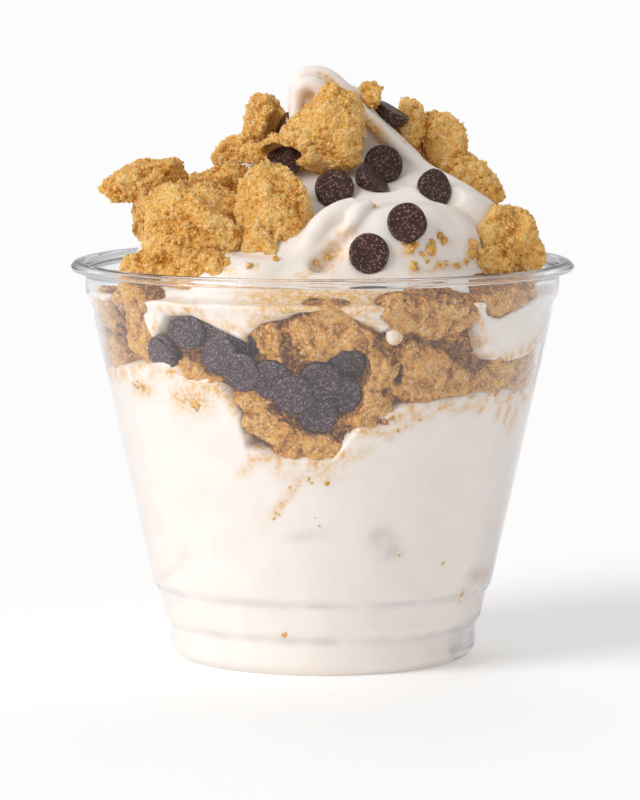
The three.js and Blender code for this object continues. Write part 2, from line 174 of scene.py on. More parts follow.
class Noise:
    """Uneven patterns in space that repeat from run to run, with one bump to a unit of length."""

    def __init__(self, seed: int) -> None:
        """Shuffles the pattern by a seed."""
        draws = np.random.default_rng(seed)
        self.order = np.tile(draws.permutation(256), 2)
        slopes = draws.normal(size=(256, 3))
        self.slopes = slopes / np.linalg.norm(slopes, axis=1, keepdims=True)
        self.seats = draws.random((256, 3))

    def pick(self, cells: Array) -> Array:
        """A number from 0 to 255 for each cell."""
        x, y, z = (cells & 255).T
        return self.order[self.order[self.order[x] + y] + z]

    def smooth(self, points: Array) -> Array:
        """Smooth waves.

        Args:
            points: Where they are read.

        Returns:
            A value from about -0.7 to 0.7 for each point.
        """
        cells = np.floor(points).astype(np.int64)
        share = points - cells
        ease = share**3 * (share * (share * 6 - 15) + 10)
        total = np.zeros(len(points))
        for corner in itertools.product((0, 1), repeat=3):
            rise = np.einsum("ij,ij->i", self.slopes[self.pick(cells + corner)], share - corner)
            total += rise * np.prod(np.where(corner, ease, 1 - ease), axis=1)
        return total

    def grains(self, points: Array) -> Array:
        """Packed round grains.

        Args:
            points: Where they are read.

        Returns:
            For each point a value that is 1 at the middle of a grain and about 0.2 between grains.
        """
        cells = np.floor(points).astype(np.int64)
        nearest = np.full(len(points), 9.0)
        for step in itertools.product((-1, 0, 1), repeat=3):
            seat = cells + step + self.seats[self.pick(cells + step)]
            nearest = np.minimum(nearest, ((points - seat) ** 2).sum(axis=1))
        return np.clip(1 - nearest**0.6, 0, 1)


# ---- shapes ----


@dataclass
class Shape:
    """A mesh in the making, in millimetres, with values that its finish reads at each corner."""

    points: Array
    faces: list[list[int]]
    values: dict[str, Array] = field(default_factory=dict)
    hidden: Array | None = None  # which corners are out of sight

    def tree(self) -> BVHTree:
        """A tree for finding where a line meets the shape."""
        return BVHTree.FromPolygons(self.points.tolist(), self.faces)

    def corner_normals(self) -> Array:
        """The direction out of the surface at each corner.

        Returns:
            A unit vector for each corner.
        """
        corners = np.array([face[:3] for face in self.faces])
        a, b, c = (self.points[corners[:, i]] for i in range(3))
        facing = np.cross(b - a, c - a)
        normals = np.zeros_like(self.points)
        for i in range(3):
            np.add.at(normals, corners[:, i], facing)
        return normals / np.maximum(np.linalg.norm(normals, axis=1, keepdims=True), 1e-9)


def joined(shapes: Iterable[Shape]) -> Shape:
    """Several shapes as one mesh.

    Args:
        shapes: The shapes, each closed in itself.

    Returns:
        The mesh.
    """
    points, faces, start = [], [], 0
    for shape in shapes:
        points.append(shape.points)
        faces += [[corner + start for corner in face] for face in shape.faces]
        start += len(shape.points)
    return Shape(np.concatenate(points), faces)


def skin(rings: Array, low_pole: Point, high_pole: Point) -> Shape:
    """A closed skin over rings of points, from one pole to the other.

    Args:
        rings: Points by ring and place in the ring, which runs anticlockwise from above.
        low_pole: The point that closes the first ring.
        high_pole: The point that closes the last ring.

    Returns:
        The skin, facing out.
    """
    count = rings.shape[1]
    points = np.concatenate([[low_pole], rings.reshape(-1, 3), [high_pole]])
    last = len(points) - 1
    faces = []
    for i in range(count):
        j = (i + 1) % count
        faces.append([0, 1 + j, 1 + i])
        for ring in range(len(rings) - 1):
            a = 1 + ring * count
            faces.append([a + i, a + j, a + count + j, a + count + i])
        faces.append([last, last - count + i, last - count + j])
    return Shape(points, faces)


def rounded(outline: Sequence[tuple[float, float]], reach: float, steps: int = 4) -> Array:
    """An outline with its corners rounded.

    Args:
        outline: Points of radius and height. The first and last stay as they are.
        reach: How far from the corner the round starts, at most.
        steps: Points on each round, less one.

    Returns:
        The new outline.
    """
    most = 0.45  # the share of a side that one round takes, at most
    corners = np.array(outline, float)
    points = [corners[0]]
    for before, corner, after in zip(corners, corners[1:], corners[2:]):
        back, ahead = before - corner, after - corner
        start = corner + back * min(most, reach / np.linalg.norm(back))
        end = corner + ahead * min(most, reach / np.linalg.norm(ahead))
        for share in np.linspace(0, 1, steps + 1):
            points.append((1 - share) ** 2 * start + 2 * share * (1 - share) * corner + share**2 * end)
    points.append(corners[-1])
    return np.array(points)


def lathe(outline: Array, columns: int) -> Shape:
    """A solid turned about Z.

    Args:
        outline: Points of radius and height that start and end on the axis.
        columns: The number of its sides.

    Returns:
        The solid.
    """
    turns = np.linspace(0, 2 * math.pi, columns, endpoint=False)
    radius, z = outline[1:-1, 0][:, None], outline[1:-1, 1][:, None]
    rings = np.stack([radius * np.cos(turns), radius * np.sin(turns), z + 0 * turns], axis=-1)
    return skin(rings, (0, 0, outline[0, 1]), (0, 0, outline[-1, 1]))


class Grid:
    """A block of space in cubic cells, with a clearance at each corner of the cells."""

    def __init__(self, low: Sequence[float], high: Sequence[float], step: float) -> None:
        """Lays the block out, empty.

        Args:
            low: Its lowest corner.
            high: Its highest corner.
            step: The size of a cell.
        """
        self.low = np.array(low, float)
        self.step = step
        self.axes = [np.arange(a, b + step, step) for a, b in zip(low, high)]
        self.clearance = np.full([len(axis) for axis in self.axes], FAR, np.float32)

    def window(self, low: Array, high: Array) -> tuple[slice, ...]:
        """The corners between two points, as slices."""
        return tuple(
            slice(int(np.searchsorted(axis, a)), int(np.searchsorted(axis, b)))
            for axis, a, b in zip(self.axes, low, high)
        )

    def places(self, window: tuple[slice, ...]) -> Array:
        """The corners of a window as points."""
        axes = [axis[part] for axis, part in zip(self.axes, window)]
        return np.stack(np.meshgrid(*axes, indexing="ij"), axis=-1)

    def spots(self, chosen: Array) -> Array:
        """The chosen corners as a list of points."""
        return np.stack([axis[at] for axis, at in zip(self.axes, np.nonzero(chosen))], axis=1)

    def roughen(self, relief: Reader, band: float, shown: Array | bool = True) -> None:
        """Moves the surface out by a relief.

        Args:
            relief: Gives the height of the relief.
            band: How far from the surface it is worked out.
            shown: The corners where it matters.
        """
        near = (np.abs(self.clearance) < band) & shown
        self.clearance[near] -= relief(self.spots(near))

    def dig(self, outside: Reader, middle: Array, reach: float, blend: float) -> None:
        """Takes a form out of what is there.

        Args:
            outside: Gives how far points lie outside the form.
            middle: The middle of the form.
            reach: How far from its middle it matters.
            blend: How round the new edge is.
        """
        window = self.window(middle - reach, middle + reach)
        places = self.places(window)
        if places.size:
            away = outside(places.reshape(-1, 3)).reshape(places.shape[:3])
            self.clearance[window] = carved(self.clearance[window], -away, blend)

    def surface(self) -> Shape:
        """The surface where the clearance is zero.

        Returns:
            The surface, with one corner in each cell that it crosses.
        """
        inside = self.clearance < 0
        cells = [count - 1 for count in inside.shape]
        corners = list(itertools.product((0, 1), repeat=3))
        blocks = [tuple(slice(c, c + n) for c, n in zip(corner, cells)) for corner in corners]
        filled = sum(inside[block].astype(np.int8) for block in blocks)
        crossed = (filled > 0) & (filled < 8)
        values = np.stack([self.clearance[block][crossed] for block in blocks], axis=1).astype(float)
        seats = np.argwhere(crossed)
        total = np.zeros((len(seats), 3))
        hits = np.zeros((len(seats), 1))
        for a, b in itertools.combinations(range(8), 2):
            way = np.subtract(corners[b], corners[a])
            if np.abs(way).sum() != 1:
                continue
            cut = ((values[:, a] < 0) != (values[:, b] < 0))[:, None]
            share = values[:, a, None] / np.where(cut, values[:, a, None] - values[:, b, None], 1)
            total += np.where(cut, corners[a] + share * way, 0)
            hits += cut
        points = self.low + self.step * (seats + total / hits)
        index = np.full(cells, -1)
        index[crossed] = np.arange(len(seats))
        return Shape(points, self.quads(inside, index).tolist())

    def quads(self, inside: Array, index: Array) -> Array:
        """A quad round each edge of the cells that leaves or enters the form.

        Args:
            inside: Whether each corner lies inside the form.
            index: The number of the surface's corner in each cell.

        Returns:
            Four corner numbers for each quad, facing out.
        """
        quads = []
        for axis in range(3):
            u, v = (axis + 1) % 3, (axis + 2) % 3
            here = [slice(1, count) for count in index.shape]
            here[axis] = slice(0, index.shape[axis])
            ahead = list(here)
            ahead[axis] = slice(1, index.shape[axis] + 1)
            starts, ends = inside[tuple(here)], inside[tuple(ahead)]
            for leaving in (True, False):
                edges = np.argwhere((starts == leaving) & (ends != leaving))
                ring = []
                for du, dv in ((0, 0), (1, 0), (1, 1), (0, 1)):
                    cell = edges.copy()
                    cell[:, u] += du
                    cell[:, v] += dv
                    ring.append(index[tuple(cell.T)])
                quads.append(np.stack(ring if leaving else ring[::-1], axis=1))
        return np.concatenate(quads)


@dataclass(frozen=True)
class Ball:
    """A round space that food stays out of."""

    middle: Array
    radius: float

    def outside(self, points: Array) -> Array:
        """How far each point lies outside the ball."""
        return np.linalg.norm(points - self.middle, axis=1) - self.radius

    def dig_out_of(self, grid: Grid, blend: float) -> None:
        """Keeps the space clear of what is in a grid."""
        grid.dig(self.outside, self.middle, self.radius + 2, blend)


def without_scraps(shape: Shape, smallest: int = 400) -> Shape:
    """A shape without its loose scraps.

    Args:
        shape: The shape.
        smallest: The number of corners from which a loose part stays.

    Returns:
        What is left.
    """
    faces = np.array(shape.faces)
    label = np.arange(len(shape.points))
    while True:
        lowest = label[faces].min(axis=1)
        merged = label.copy()
        for side in faces.T:
            np.minimum.at(merged, side, lowest)
        merged = merged[merged]
        if (merged == label).all():
            break
        label = merged
    size = np.bincount(label, minlength=len(label))
    kept = size[label] >= smallest
    number = np.cumsum(kept) - 1
    return Shape(shape.points[kept], number[faces[kept[faces[:, 0]]]].tolist())


# ---- nodes, groups and finishes ----


def srgb(red: int, green: int, blue: int) -> Colour:
    """A colour as it is seen on a screen, from 0 to 255, as the linear colour that a shader takes."""
    shares = (value / 255 for value in (red, green, blue))
    return (*(s / 12.92 if s <= 0.04045 else ((s + 0.055) / 1.055) ** 2.4 for s in shares), 1.0)


class Graph:
    """A node tree, with short calls that add nodes to it."""

    def __init__(self, tree: NodeTree) -> None:
        """Wraps a tree."""
        self.tree = tree

    def add(self, kind: str, inputs: dict | None = None, **settings: object) -> Node:
        """Adds a node.

        Args:
            kind: The node's type, without its prefix.
            inputs: Values, or the outputs to join, by the name or number of the input.
            **settings: The node's own properties.

        Returns:
            The node.
        """
        node = self.tree.nodes.new("ShaderNode" + kind)
        for name, value in settings.items():
            setattr(node, name, value)
        for name, value in (inputs or {}).items():
            if isinstance(value, NodeSocket):
                self.tree.links.new(value, node.inputs[name])
            else:
                node.inputs[name].default_value = value
        return node

    def mix(self, share: object, a: object, b: object) -> NodeSocket:
        """Two colours mixed by a share of the second."""
        return self.add("Mix", {0: share, 6: a, 7: b}, data_type="RGBA").outputs[2]

    def span(self, value: object, low: float, high: float, to: tuple = (0, 1)) -> NodeSocket:
        """A value's span between two limits, stretched to another span and held there."""
        inputs = {"Value": value, "From Min": low, "From Max": high, "To Min": to[0], "To Max": to[1]}
        return self.add("MapRange", inputs).outputs[0]

    def maths(self, operation: str, a: object, b: object, held: bool = False) -> NodeSocket:
        """Two values joined by a sum, which may be held between 0 and 1."""
        return self.add("Math", {0: a, 1: b}, operation=operation, use_clamp=held).outputs[0]

    def value_of(self, name: str) -> NodeSocket:
        """A value that the mesh holds at its corners."""
        return self.add("Attribute", attribute_name=name).outputs["Fac"]

    def place(self, group: NodeTree, inputs: dict) -> Node:
        """A node group, placed with its own values."""
        return self.add("Group", inputs, node_tree=group)

    def end_in(self, shader: Node) -> None:
        """Makes a shader the surface of the material."""
        self.tree.links.new(shader.outputs[0], self.add("OutputMaterial").inputs["Surface"])

    def end_in_principled(self, inputs: dict) -> None:
        """Makes a principled shader with these inputs the surface of the material."""
        self.end_in(self.add("BsdfPrincipled", inputs))


def group_with(name: str, inputs: dict[str, float], outputs: Sequence[str]) -> tuple[Graph, dict]:
    """A new node group of plain values.

    Args:
        name: Its name.
        inputs: Its inputs and what they are unless set.
        outputs: Its outputs.

    Returns:
        Its tree, and its input sockets by name.
    """
    tree = bpy.data.node_groups.new(name, "ShaderNodeTree")
    for title, value in inputs.items():
        socket = tree.interface.new_socket(title, in_out="INPUT", socket_type="NodeSocketFloat")
        socket.default_value = value
    for title in outputs:
        tree.interface.new_socket(title, in_out="OUTPUT", socket_type="NodeSocketFloat")
    start = tree.nodes.new("NodeGroupInput")
    return Graph(tree), {title: start.outputs[title] for title in inputs}


def close_group(graph: Graph, outputs: dict[str, NodeSocket]) -> NodeTree:
    """Joins up the outputs of a group.

    Args:
        graph: The group's tree.
        outputs: What each output gives.

    Returns:
        The group.
    """
    end = graph.tree.nodes.new("NodeGroupOutput")
    for title, socket in outputs.items():
        graph.tree.links.new(socket, end.inputs[title])
    return graph.tree


def soft_mottle() -> NodeTree:
    """Soft patches: a value from 0 to 1 that changes slowly over the surface.

    Returns:
        The group.
    """
    graph, given = group_with("soft_mottle", {"Scale": 200.0, "Contrast": 1.0}, ["Value"])
    spot = graph.add("TexCoord").outputs["Object"]
    inputs = {"Vector": spot, "Scale": given["Scale"], "Detail": 3.0, "Roughness": 0.55}
    waves = graph.add("TexNoise", inputs).outputs["Fac"]
    level = graph.maths("MULTIPLY", graph.maths("SUBTRACT", waves, 0.5), given["Contrast"])
    return close_group(graph, {"Value": graph.maths("ADD", level, 0.5, held=True)})


def scattered_specks() -> NodeTree:
    """Scattered specks: a mask that is 1 on a speck, and a chance that differs from speck to speck.

    Returns:
        The group.
    """
    inputs = {"Scale": 2000.0, "Share": 0.3, "Size": 0.35}
    graph, given = group_with("scattered_specks", inputs, ["Mask", "Chance"])
    spot = graph.add("TexCoord").outputs["Object"]
    cells = graph.add("TexVoronoi", {"Vector": spot, "Scale": given["Scale"]})
    chances = graph.add("SeparateColor", {0: cells.outputs["Color"]}).outputs
    chosen = graph.maths("LESS_THAN", chances[0], given["Share"])
    close = graph.maths("LESS_THAN", cells.outputs["Distance"], given["Size"])
    return close_group(graph, {"Mask": graph.maths("MULTIPLY", chosen, close), "Chance": chances[1]})


def fine_pores() -> NodeTree:
    """Fine grain for bumps: a height in small grains, with finer noise on them.

    Returns:
        The group.
    """
    graph, given = group_with("fine_pores", {"Scale": 1500.0, "Fuzz": 0.5}, ["Height"])
    spot = graph.add("TexCoord").outputs["Object"]
    grains = graph.add("TexVoronoi", {"Vector": spot, "Scale": given["Scale"]}).outputs["Distance"]
    finer = graph.maths("MULTIPLY", given["Scale"], 2.3)
    waves = graph.add("TexNoise", {"Vector": spot, "Scale": finer, "Detail": 2.0}).outputs["Fac"]
    height = graph.maths("SUBTRACT", graph.maths("MULTIPLY", waves, given["Fuzz"]), grains)
    return close_group(graph, {"Height": height})


@dataclass(frozen=True)
class Effects:
    """The node groups that more than one finish uses, built once."""

    mottle: NodeTree = field(default_factory=soft_mottle)
    specks: NodeTree = field(default_factory=scattered_specks)
    pores: NodeTree = field(default_factory=fine_pores)


def new_material(name: str) -> tuple[Material, Graph]:
    """An empty material.

    Args:
        name: Its name.

    Returns:
        The material and its graph.
    """
    material = bpy.data.materials.new(name)
    material.use_nodes = True
    material.node_tree.nodes.clear()
    return material, Graph(material.node_tree)


@dataclass(frozen=True)
class ServeFinish:
    """Frozen cream: smooth, slightly wet, light passing a little way in, with faint smeared dough, grey
    blots, and tan and grey painted shade in hollows of the swirl and along the steps of the wall.
    """

    cream: Colour = srgb(244, 236, 229)
    shade: Colour = srgb(238, 228, 219)
    # The tan is smeared dough, and also painted shade in hollows of the swirl and beside its ridge.
    smear_and_shade: Colour = srgb(224, 172, 88)
    # The grey is blots, and also painted shade along the steps of the wall.
    blot_and_shade: Colour = srgb(196, 184, 182)
    depth: float = 1.6 * MM

    def material(self, effects: Effects) -> Material:
        """Builds the material.

        Args:
            effects: The node groups that it places.

        Returns:
            The material.
        """
        material, graph = new_material("soft_serve")
        patches = graph.place(effects.mottle, {"Scale": 160.0, "Contrast": 2.2}).outputs["Value"]
        speckled = graph.place(effects.mottle, {"Scale": 1300.0, "Contrast": 3.0}).outputs["Value"]
        base = graph.mix(patches, self.cream, self.shade)
        uneven = graph.span(speckled, 0.2, 0.8, (0.45, 1.25))
        # Tan: smeared dough, and painted shade in hollows of the swirl and beside its ridge.
        smear_and_shade = graph.maths("MULTIPLY", graph.value_of("smear_and_shade"), uneven, held=True)
        base = graph.mix(smear_and_shade, base, self.smear_and_shade)
        # Grey: blots, and painted shade along the steps of the wall.
        base = graph.mix(graph.value_of("blot_and_shade"), base, self.blot_and_shade)
        waves = graph.place(effects.mottle, {"Scale": 420.0, "Contrast": 1.0}).outputs["Value"]
        pores = graph.place(effects.pores, {"Scale": 1700.0, "Fuzz": 0.8}).outputs["Height"]
        height = graph.maths("ADD", waves, graph.maths("MULTIPLY", pores, 0.12))
        bump = graph.add("Bump", {"Height": height, "Strength": 0.35, "Distance": 0.25 * MM})
        graph.end_in_principled(
            {
                "Base Color": base,
                "Roughness": graph.span(patches, 0.0, 1.0, (0.34, 0.48)),
                "Normal": bump.outputs[0],
                "Specular IOR Level": 0.4,
                "Subsurface Weight": 0.4,
                "Subsurface Radius": (1.0, 0.72, 0.5),
                "Subsurface Scale": self.depth,
            }
        )
        return material


@dataclass(frozen=True)
class DoughFinish:
    """Brown-sugar dough: painted highlight on the crests and painted shade in the crevices, chosen by the
    relief, and sugar that glints.
    """

    name: str = "cookie_dough"
    # The crest colour is a painted highlight and the crevice colour a painted shade; the relief picks between
    # them.
    crest: Colour = srgb(255, 214, 140)
    body: Colour = srgb(245, 182, 86)
    crevice: Colour = srgb(178, 104, 30)
    sugar: Colour = srgb(255, 232, 190)
    speckled: float = 0.7

    def material(self, effects: Effects) -> Material:
        """Builds the material.

        Args:
            effects: The node groups that it places.

        Returns:
            The material.
        """
        material, graph = new_material(self.name)
        patches = graph.place(effects.mottle, {"Scale": 330.0, "Contrast": 1.6}).outputs["Value"]
        grain = graph.place(effects.mottle, {"Scale": 1500.0, "Contrast": 2.4}).outputs["Value"]
        specks = graph.place(effects.specks, {"Scale": 2000.0, "Share": 0.26, "Size": 0.45})
        uneven = graph.maths("ADD", grain, specks.outputs["Chance"])
        level = graph.maths("ADD", graph.value_of("relief"), graph.span(uneven, 0.0, 2.0, (-0.5, 0.5)))
        # Painted shade and highlight: low relief takes the crevice colour, high relief the crest colour.
        base = graph.mix(graph.span(level, 0.0, 0.5), self.crevice, self.body)
        base = graph.mix(graph.span(level, 0.45, 1.05), base, self.crest)
        base = graph.mix(graph.span(patches, 0.35, 1.0, (0.0, 0.4)), base, self.body)
        # Pale sugar specks on raised grains: partly the sugar's own colour, partly painted glints.
        glint = graph.maths("MULTIPLY", specks.outputs["Mask"], graph.span(level, 0.3, 0.6))
        base = graph.mix(graph.maths("MULTIPLY", glint, self.speckled), base, self.sugar)
        pores = graph.place(effects.pores, {"Scale": 1900.0, "Fuzz": 1.0}).outputs["Height"]
        bump = graph.add("Bump", {"Height": pores, "Strength": 1.0, "Distance": 0.42 * MM})
        graph.end_in_principled(
            {
                "Base Color": base,
                "Roughness": graph.span(glint, 0.0, 1.0, (0.85, 0.3)),
                "Normal": bump.outputs[0],
                "Specular IOR Level": 0.35,
                "Subsurface Weight": 0.12,
                "Subsurface Radius": (1.0, 0.5, 0.2),
                "Subsurface Scale": 0.6 * MM,
            }
        )
        return material


@dataclass(frozen=True)
class SugarFinish:
    """Sugar crystals: pale gold, smooth and bright."""

    crystal: Colour = srgb(255, 222, 160)
    toasted: Colour = srgb(232, 168, 84)

    def material(self, effects: Effects) -> Material:
        """Builds the material.

        Args:
            effects: The node groups that it places.

        Returns:
            The material.
        """
        material, graph = new_material("sugar_crystals")
        tone = graph.place(effects.mottle, {"Scale": 1200.0, "Contrast": 4.0}).outputs["Value"]
        graph.end_in_principled(
            {
                "Base Color": graph.mix(tone, self.crystal, self.toasted),
                "Roughness": 0.16,
                "Specular IOR Level": 0.6,
            }
        )
        return material


@dataclass(frozen=True)
class ChocolateFinish:
    """Dark chocolate with a faint bloom and a dusting of fine pale specks."""

    name: str = "chocolate"
    dark: Colour = srgb(42, 19, 14)
    warm: Colour = srgb(64, 32, 24)
    dust: Colour = srgb(174, 136, 120)
    dusted: float = 0.4
    grain: float = 3000.0

    def material(self, effects: Effects) -> Material:
        """Builds the material.

        Args:
            effects: The node groups that it places.

        Returns:
            The material.
        """
        material, graph = new_material(self.name)
        patches = graph.place(effects.mottle, {"Scale": 500.0, "Contrast": 2.0}).outputs["Value"]
        base = graph.mix(patches, self.dark, self.warm)
        specks = graph.place(effects.specks, {"Scale": self.grain, "Share": self.dusted, "Size": 0.5})
        strength = graph.span(specks.outputs["Chance"], 0, 1, (0.1, 0.75))
        shown = graph.maths("MULTIPLY", specks.outputs["Mask"], strength)
        base = graph.mix(shown, base, self.dust)
        pores = graph.place(effects.pores, {"Scale": 1300.0, "Fuzz": 0.7}).outputs["Height"]
        bump = graph.add("Bump", {"Height": pores, "Strength": 0.3, "Distance": 0.2 * MM})
        graph.end_in_principled(
            {
                "Base Color": base,
                "Roughness": graph.span(patches, 0.0, 1.0, (0.38, 0.55)),
                "Normal": bump.outputs[0],
                "Specular IOR Level": 0.45,
            }
        )
        return material


@dataclass(frozen=True)
class PlasticFinish:
    """Clear cup plastic, faintly cool, greyer where the surface is seen at a slant, as painted shade for the
    dark lines at its edges and steps. Lamps and diffuse light reach the food behind it.
    """

    tint: Colour = (0.98, 0.985, 1.0, 1.0)
    # Painted shade that the plastic takes where it is seen at a slant.
    edge: Colour = (0.6, 0.58, 0.65, 1.0)

    def material(self, effects: Effects) -> Material:
        """Builds the material.

        Args:
            effects: The node groups that it places.

        Returns:
            The material.
        """
        material, graph = new_material("clear_plastic")
        ripples = graph.place(effects.mottle, {"Scale": 90.0, "Contrast": 1.0}).outputs["Value"]
        bump = graph.add("Bump", {"Height": ripples, "Strength": 0.12, "Distance": 0.3 * MM})
        handling = graph.place(effects.mottle, {"Scale": 55.0, "Contrast": 3.0}).outputs["Value"]
        # Painted shade: the plastic turns grey as its surface turns away from the view.
        turned = graph.span(graph.add("LayerWeight", {"Blend": 0.5}).outputs["Facing"], 0.5, 1.0)
        glass = graph.add(
            "BsdfPrincipled",
            {
                "Base Color": graph.mix(turned, self.tint, self.edge),
                "Metallic": 0.0,
                "Roughness": graph.span(handling, 0.3, 1.0, (0.02, 0.09)),
                "IOR": 1.5,
                "Transmission Weight": 1.0,
                "Normal": bump.outputs[0],
            },
        )
        clear = graph.add("BsdfTransparent", {"Color": (1.0, 1.0, 1.0, 1.0)})
        path = graph.add("LightPath")
        shader = glass
        for ray in ("Is Shadow Ray", "Is Diffuse Ray"):
            inputs = {0: path.outputs[ray], 1: shader.outputs[0], 2: clear.outputs[0]}
            shader = graph.add("MixShader", inputs)
        graph.end_in(shader)
        return material


Finishes = dict[str, Material]  # by name


def every_finish() -> Finishes:
    """Builds every material of the sundae.

    Returns:
        The materials by name.
    """
    kinds = {
        "serve": ServeFinish(),
        "dough": DoughFinish(),
        # Dough at the wall: the crest colour is a painted highlight and the crevice colour painted shade, as
        # on the top.
        "pressed dough": DoughFinish(
            name="pressed_dough",
            crest=srgb(247, 196, 116),
            body=srgb(223, 155, 70),
            crevice=srgb(108, 58, 29),
            sugar=srgb(246, 216, 178),
            speckled=0.9,
        ),
        "sugar": SugarFinish(),
        "chocolate": ChocolateFinish(),
        "pressed chocolate": ChocolateFinish(
            name="pressed_chocolate",
            dark=srgb(42, 20, 28),
            warm=srgb(64, 40, 48),
            dust=srgb(180, 156, 162),
            dusted=0.5,
            grain=3300.0,
        ),
        "plastic": PlasticFinish(),
    }
    effects = Effects()
    return {name: kind.material(effects) for name, kind in kinds.items()}


def hand_over(
    name: str,
    shape: Shape,
    material: Material,
    replaces: Sequence[str] = (),
) -> bpy.types.Object:
    """Makes a shape into a piece of the sundae.

    Args:
        name: The piece's name.
        shape: Its mesh, in millimetres.
        material: What it is finished with.
        replaces: The frame's nodes that it stands for.

    Returns:
        The piece.
    """
    mesh = bpy.data.meshes.new(name)
    mesh.from_pydata((shape.points * MM).tolist(), [], shape.faces)
    mesh.polygons.foreach_set("use_smooth", np.ones(len(mesh.polygons), bool))
    for title, values in shape.values.items():
        layer = mesh.attributes.new(title, "FLOAT", "POINT")
        layer.data.foreach_set("value", values.astype(np.float32))
    mesh.materials.append(material)
    piece = bpy.data.objects.new(name, mesh)
    bpy.context.scene.collection.objects.link(piece)
    if shape.hidden is not None:
        thin_out(piece, shape.hidden)
    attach(piece, "root")
    if replaces:
        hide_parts(*replaces)
    piece.data.calc_loop_triangles()
    LOG.info("%s: %d triangles", name, len(piece.data.loop_triangles))
    return piece


def thin_out(piece: bpy.types.Object, hidden: Array, kept: float = 0.2) -> None:
    """Thins out the part of a piece's mesh that nothing shows.

    Args:
        piece: The piece.
        hidden: Which of its corners are out of sight.
        kept: The share of the hidden faces that stay.
    """
    group = piece.vertex_groups.new(name="hidden")
    group.add(np.flatnonzero(hidden).tolist(), 1.0, "REPLACE")
    thin = piece.modifiers.new("thin", "DECIMATE")
    thin.ratio = 1 - (1 - kept) * float(hidden.mean())
    thin.vertex_group = group.name
    piece.data = bpy.data.meshes.new_from_object(piece.evaluated_get(bpy.context.evaluated_depsgraph_get()))
    piece.modifiers.clear()
    piece.vertex_groups.clear()


# ---- the cup ----


@dataclass
class Cup:
    """The clear cup: a stepped, tapered wall with a rolled rim, and a base that stands on its edge."""

    rim_radius: float
    height: float = 77.4
    base_recess: float = 1.4
    base_radius: float = 24.8
    columns: int = 180
    corner: float = 0.7
    rim_dips: float = 0.12
    rim_from: float = 74.0
    rim_ease: float = 3.0

    def outline(self) -> Array:
        """The section from the middle of the base out, up, over the rim and back in.

        Returns:
            Points of radius and height.
        """
        lip = self.rim_radius
        outside = [(0, self.base_recess), (self.base_radius, self.base_recess), (self.base_radius + 1, 0)]
        rim = [
            (lip - 2.2, 76.4),
            (lip - 1.1, 76.6),
            (lip - 1.0, 75.4),
            (lip - 0.3, 75.4),
            (lip, 76.3),
            (lip - 1.2, self.height),
            (lip - 3.0, self.height - 0.4),
        ]
        inside = [(radius - WALL, z + INSIDE_LIFT) for radius, z in WALL_OUTSIDE[:0:-1]]
        top_of_base = self.base_recess + WALL
        foot = [(27.9, WALL), (self.base_radius + 1.6, WALL), (self.base_radius + 0.1, top_of_base)]
        return rounded([*outside, *WALL_OUTSIDE, *rim, *inside, *foot, (0, top_of_base)], self.corner)

    def shape(self) -> Shape:
        """The cup, with the rim a little uneven, as on a pressed cup.

        Returns:
            The cup.
        """
        shape = lathe(self.outline(), self.columns)
        x, y, z = shape.points.T
        turn = np.arctan2(y, x)
        dip = (2 + np.sin(5 * turn) + np.sin(11 * turn + 1.3)) * self.rim_dips / 4
        near_rim = np.clip((z - self.rim_from) / self.rim_ease, 0, 1)
        shape.points[:, 2] -= near_rim * dip
        shape.points[:, :2] *= (1 - near_rim * dip / self.rim_radius)[:, None]
        return shape

    def build(self, finishes: Finishes) -> None:
        """Makes the cup."""
        hand_over("clear_cup", self.shape(), finishes["plastic"], ["cup"])


# ---- the edges of the middle layer ----


@dataclass(frozen=True)
class LayerEdges:
    """Where the layer of dough meets the serve below and above it, at the wall: angle, height."""

    underside: Pairs = (
        (-180, 52.5), (-150, 55.5), (-120, 51.0), (-85, 55.0), (-60, 57.2), (-45, 58.7), (-35, 57.4),
        (-27.6, 55.3), (-22.8, 51.2), (-21, 43.2), (-11, 41.4), (3.0, 41.4), (6.0, 44.4), (9.5, 47.4),
        (15, 49.4), (23, 51.2), (46, 52.9), (68, 52.3), (100, 51.5), (130, 54.5), (155, 50.5),
    )
    top: Pairs = (
        (-180, 66.0), (-145, 63.5), (-105, 67.5), (-80, 68.0), (-64, 72.6), (-53, 69.6), (-47, 65.7),
        (-42, 70.6), (-34, 71.2), (-28, 69.3), (-20, 66.9), (-15.6, 69.9), (-6.5, 72.4), (3.7, 72.4),
        (11, 70.0), (15, 68.7), (22, 71.6), (39, 73.0), (44.5, 64.0), (52, 60.5), (66, 61.5),
        (80, 66.0), (110, 63.0), (145, 67.5),
    )

    def gap_under(self, degrees: Array, z: Array) -> Array:
        """How far each place lies above the underside. Negative is below it."""
        return z - round_the_cup(self.underside, degrees)

    def gap_over(self, degrees: Array, z: Array) -> Array:
        """How far each place lies below the top. Negative is above it."""
        return round_the_cup(self.top, degrees) - z


def drawn_back(gap: Array, start: float, most: float = 9.0) -> Array:
    """How far the serve draws back from the wall behind the layer, at a gap past the layer's edge."""
    past = np.clip((gap - start) / most, 0, 1)
    return most * np.sqrt(past * (2 - past)) * np.clip(past * 4, 0, 1)


# ---- marks on the serve ----


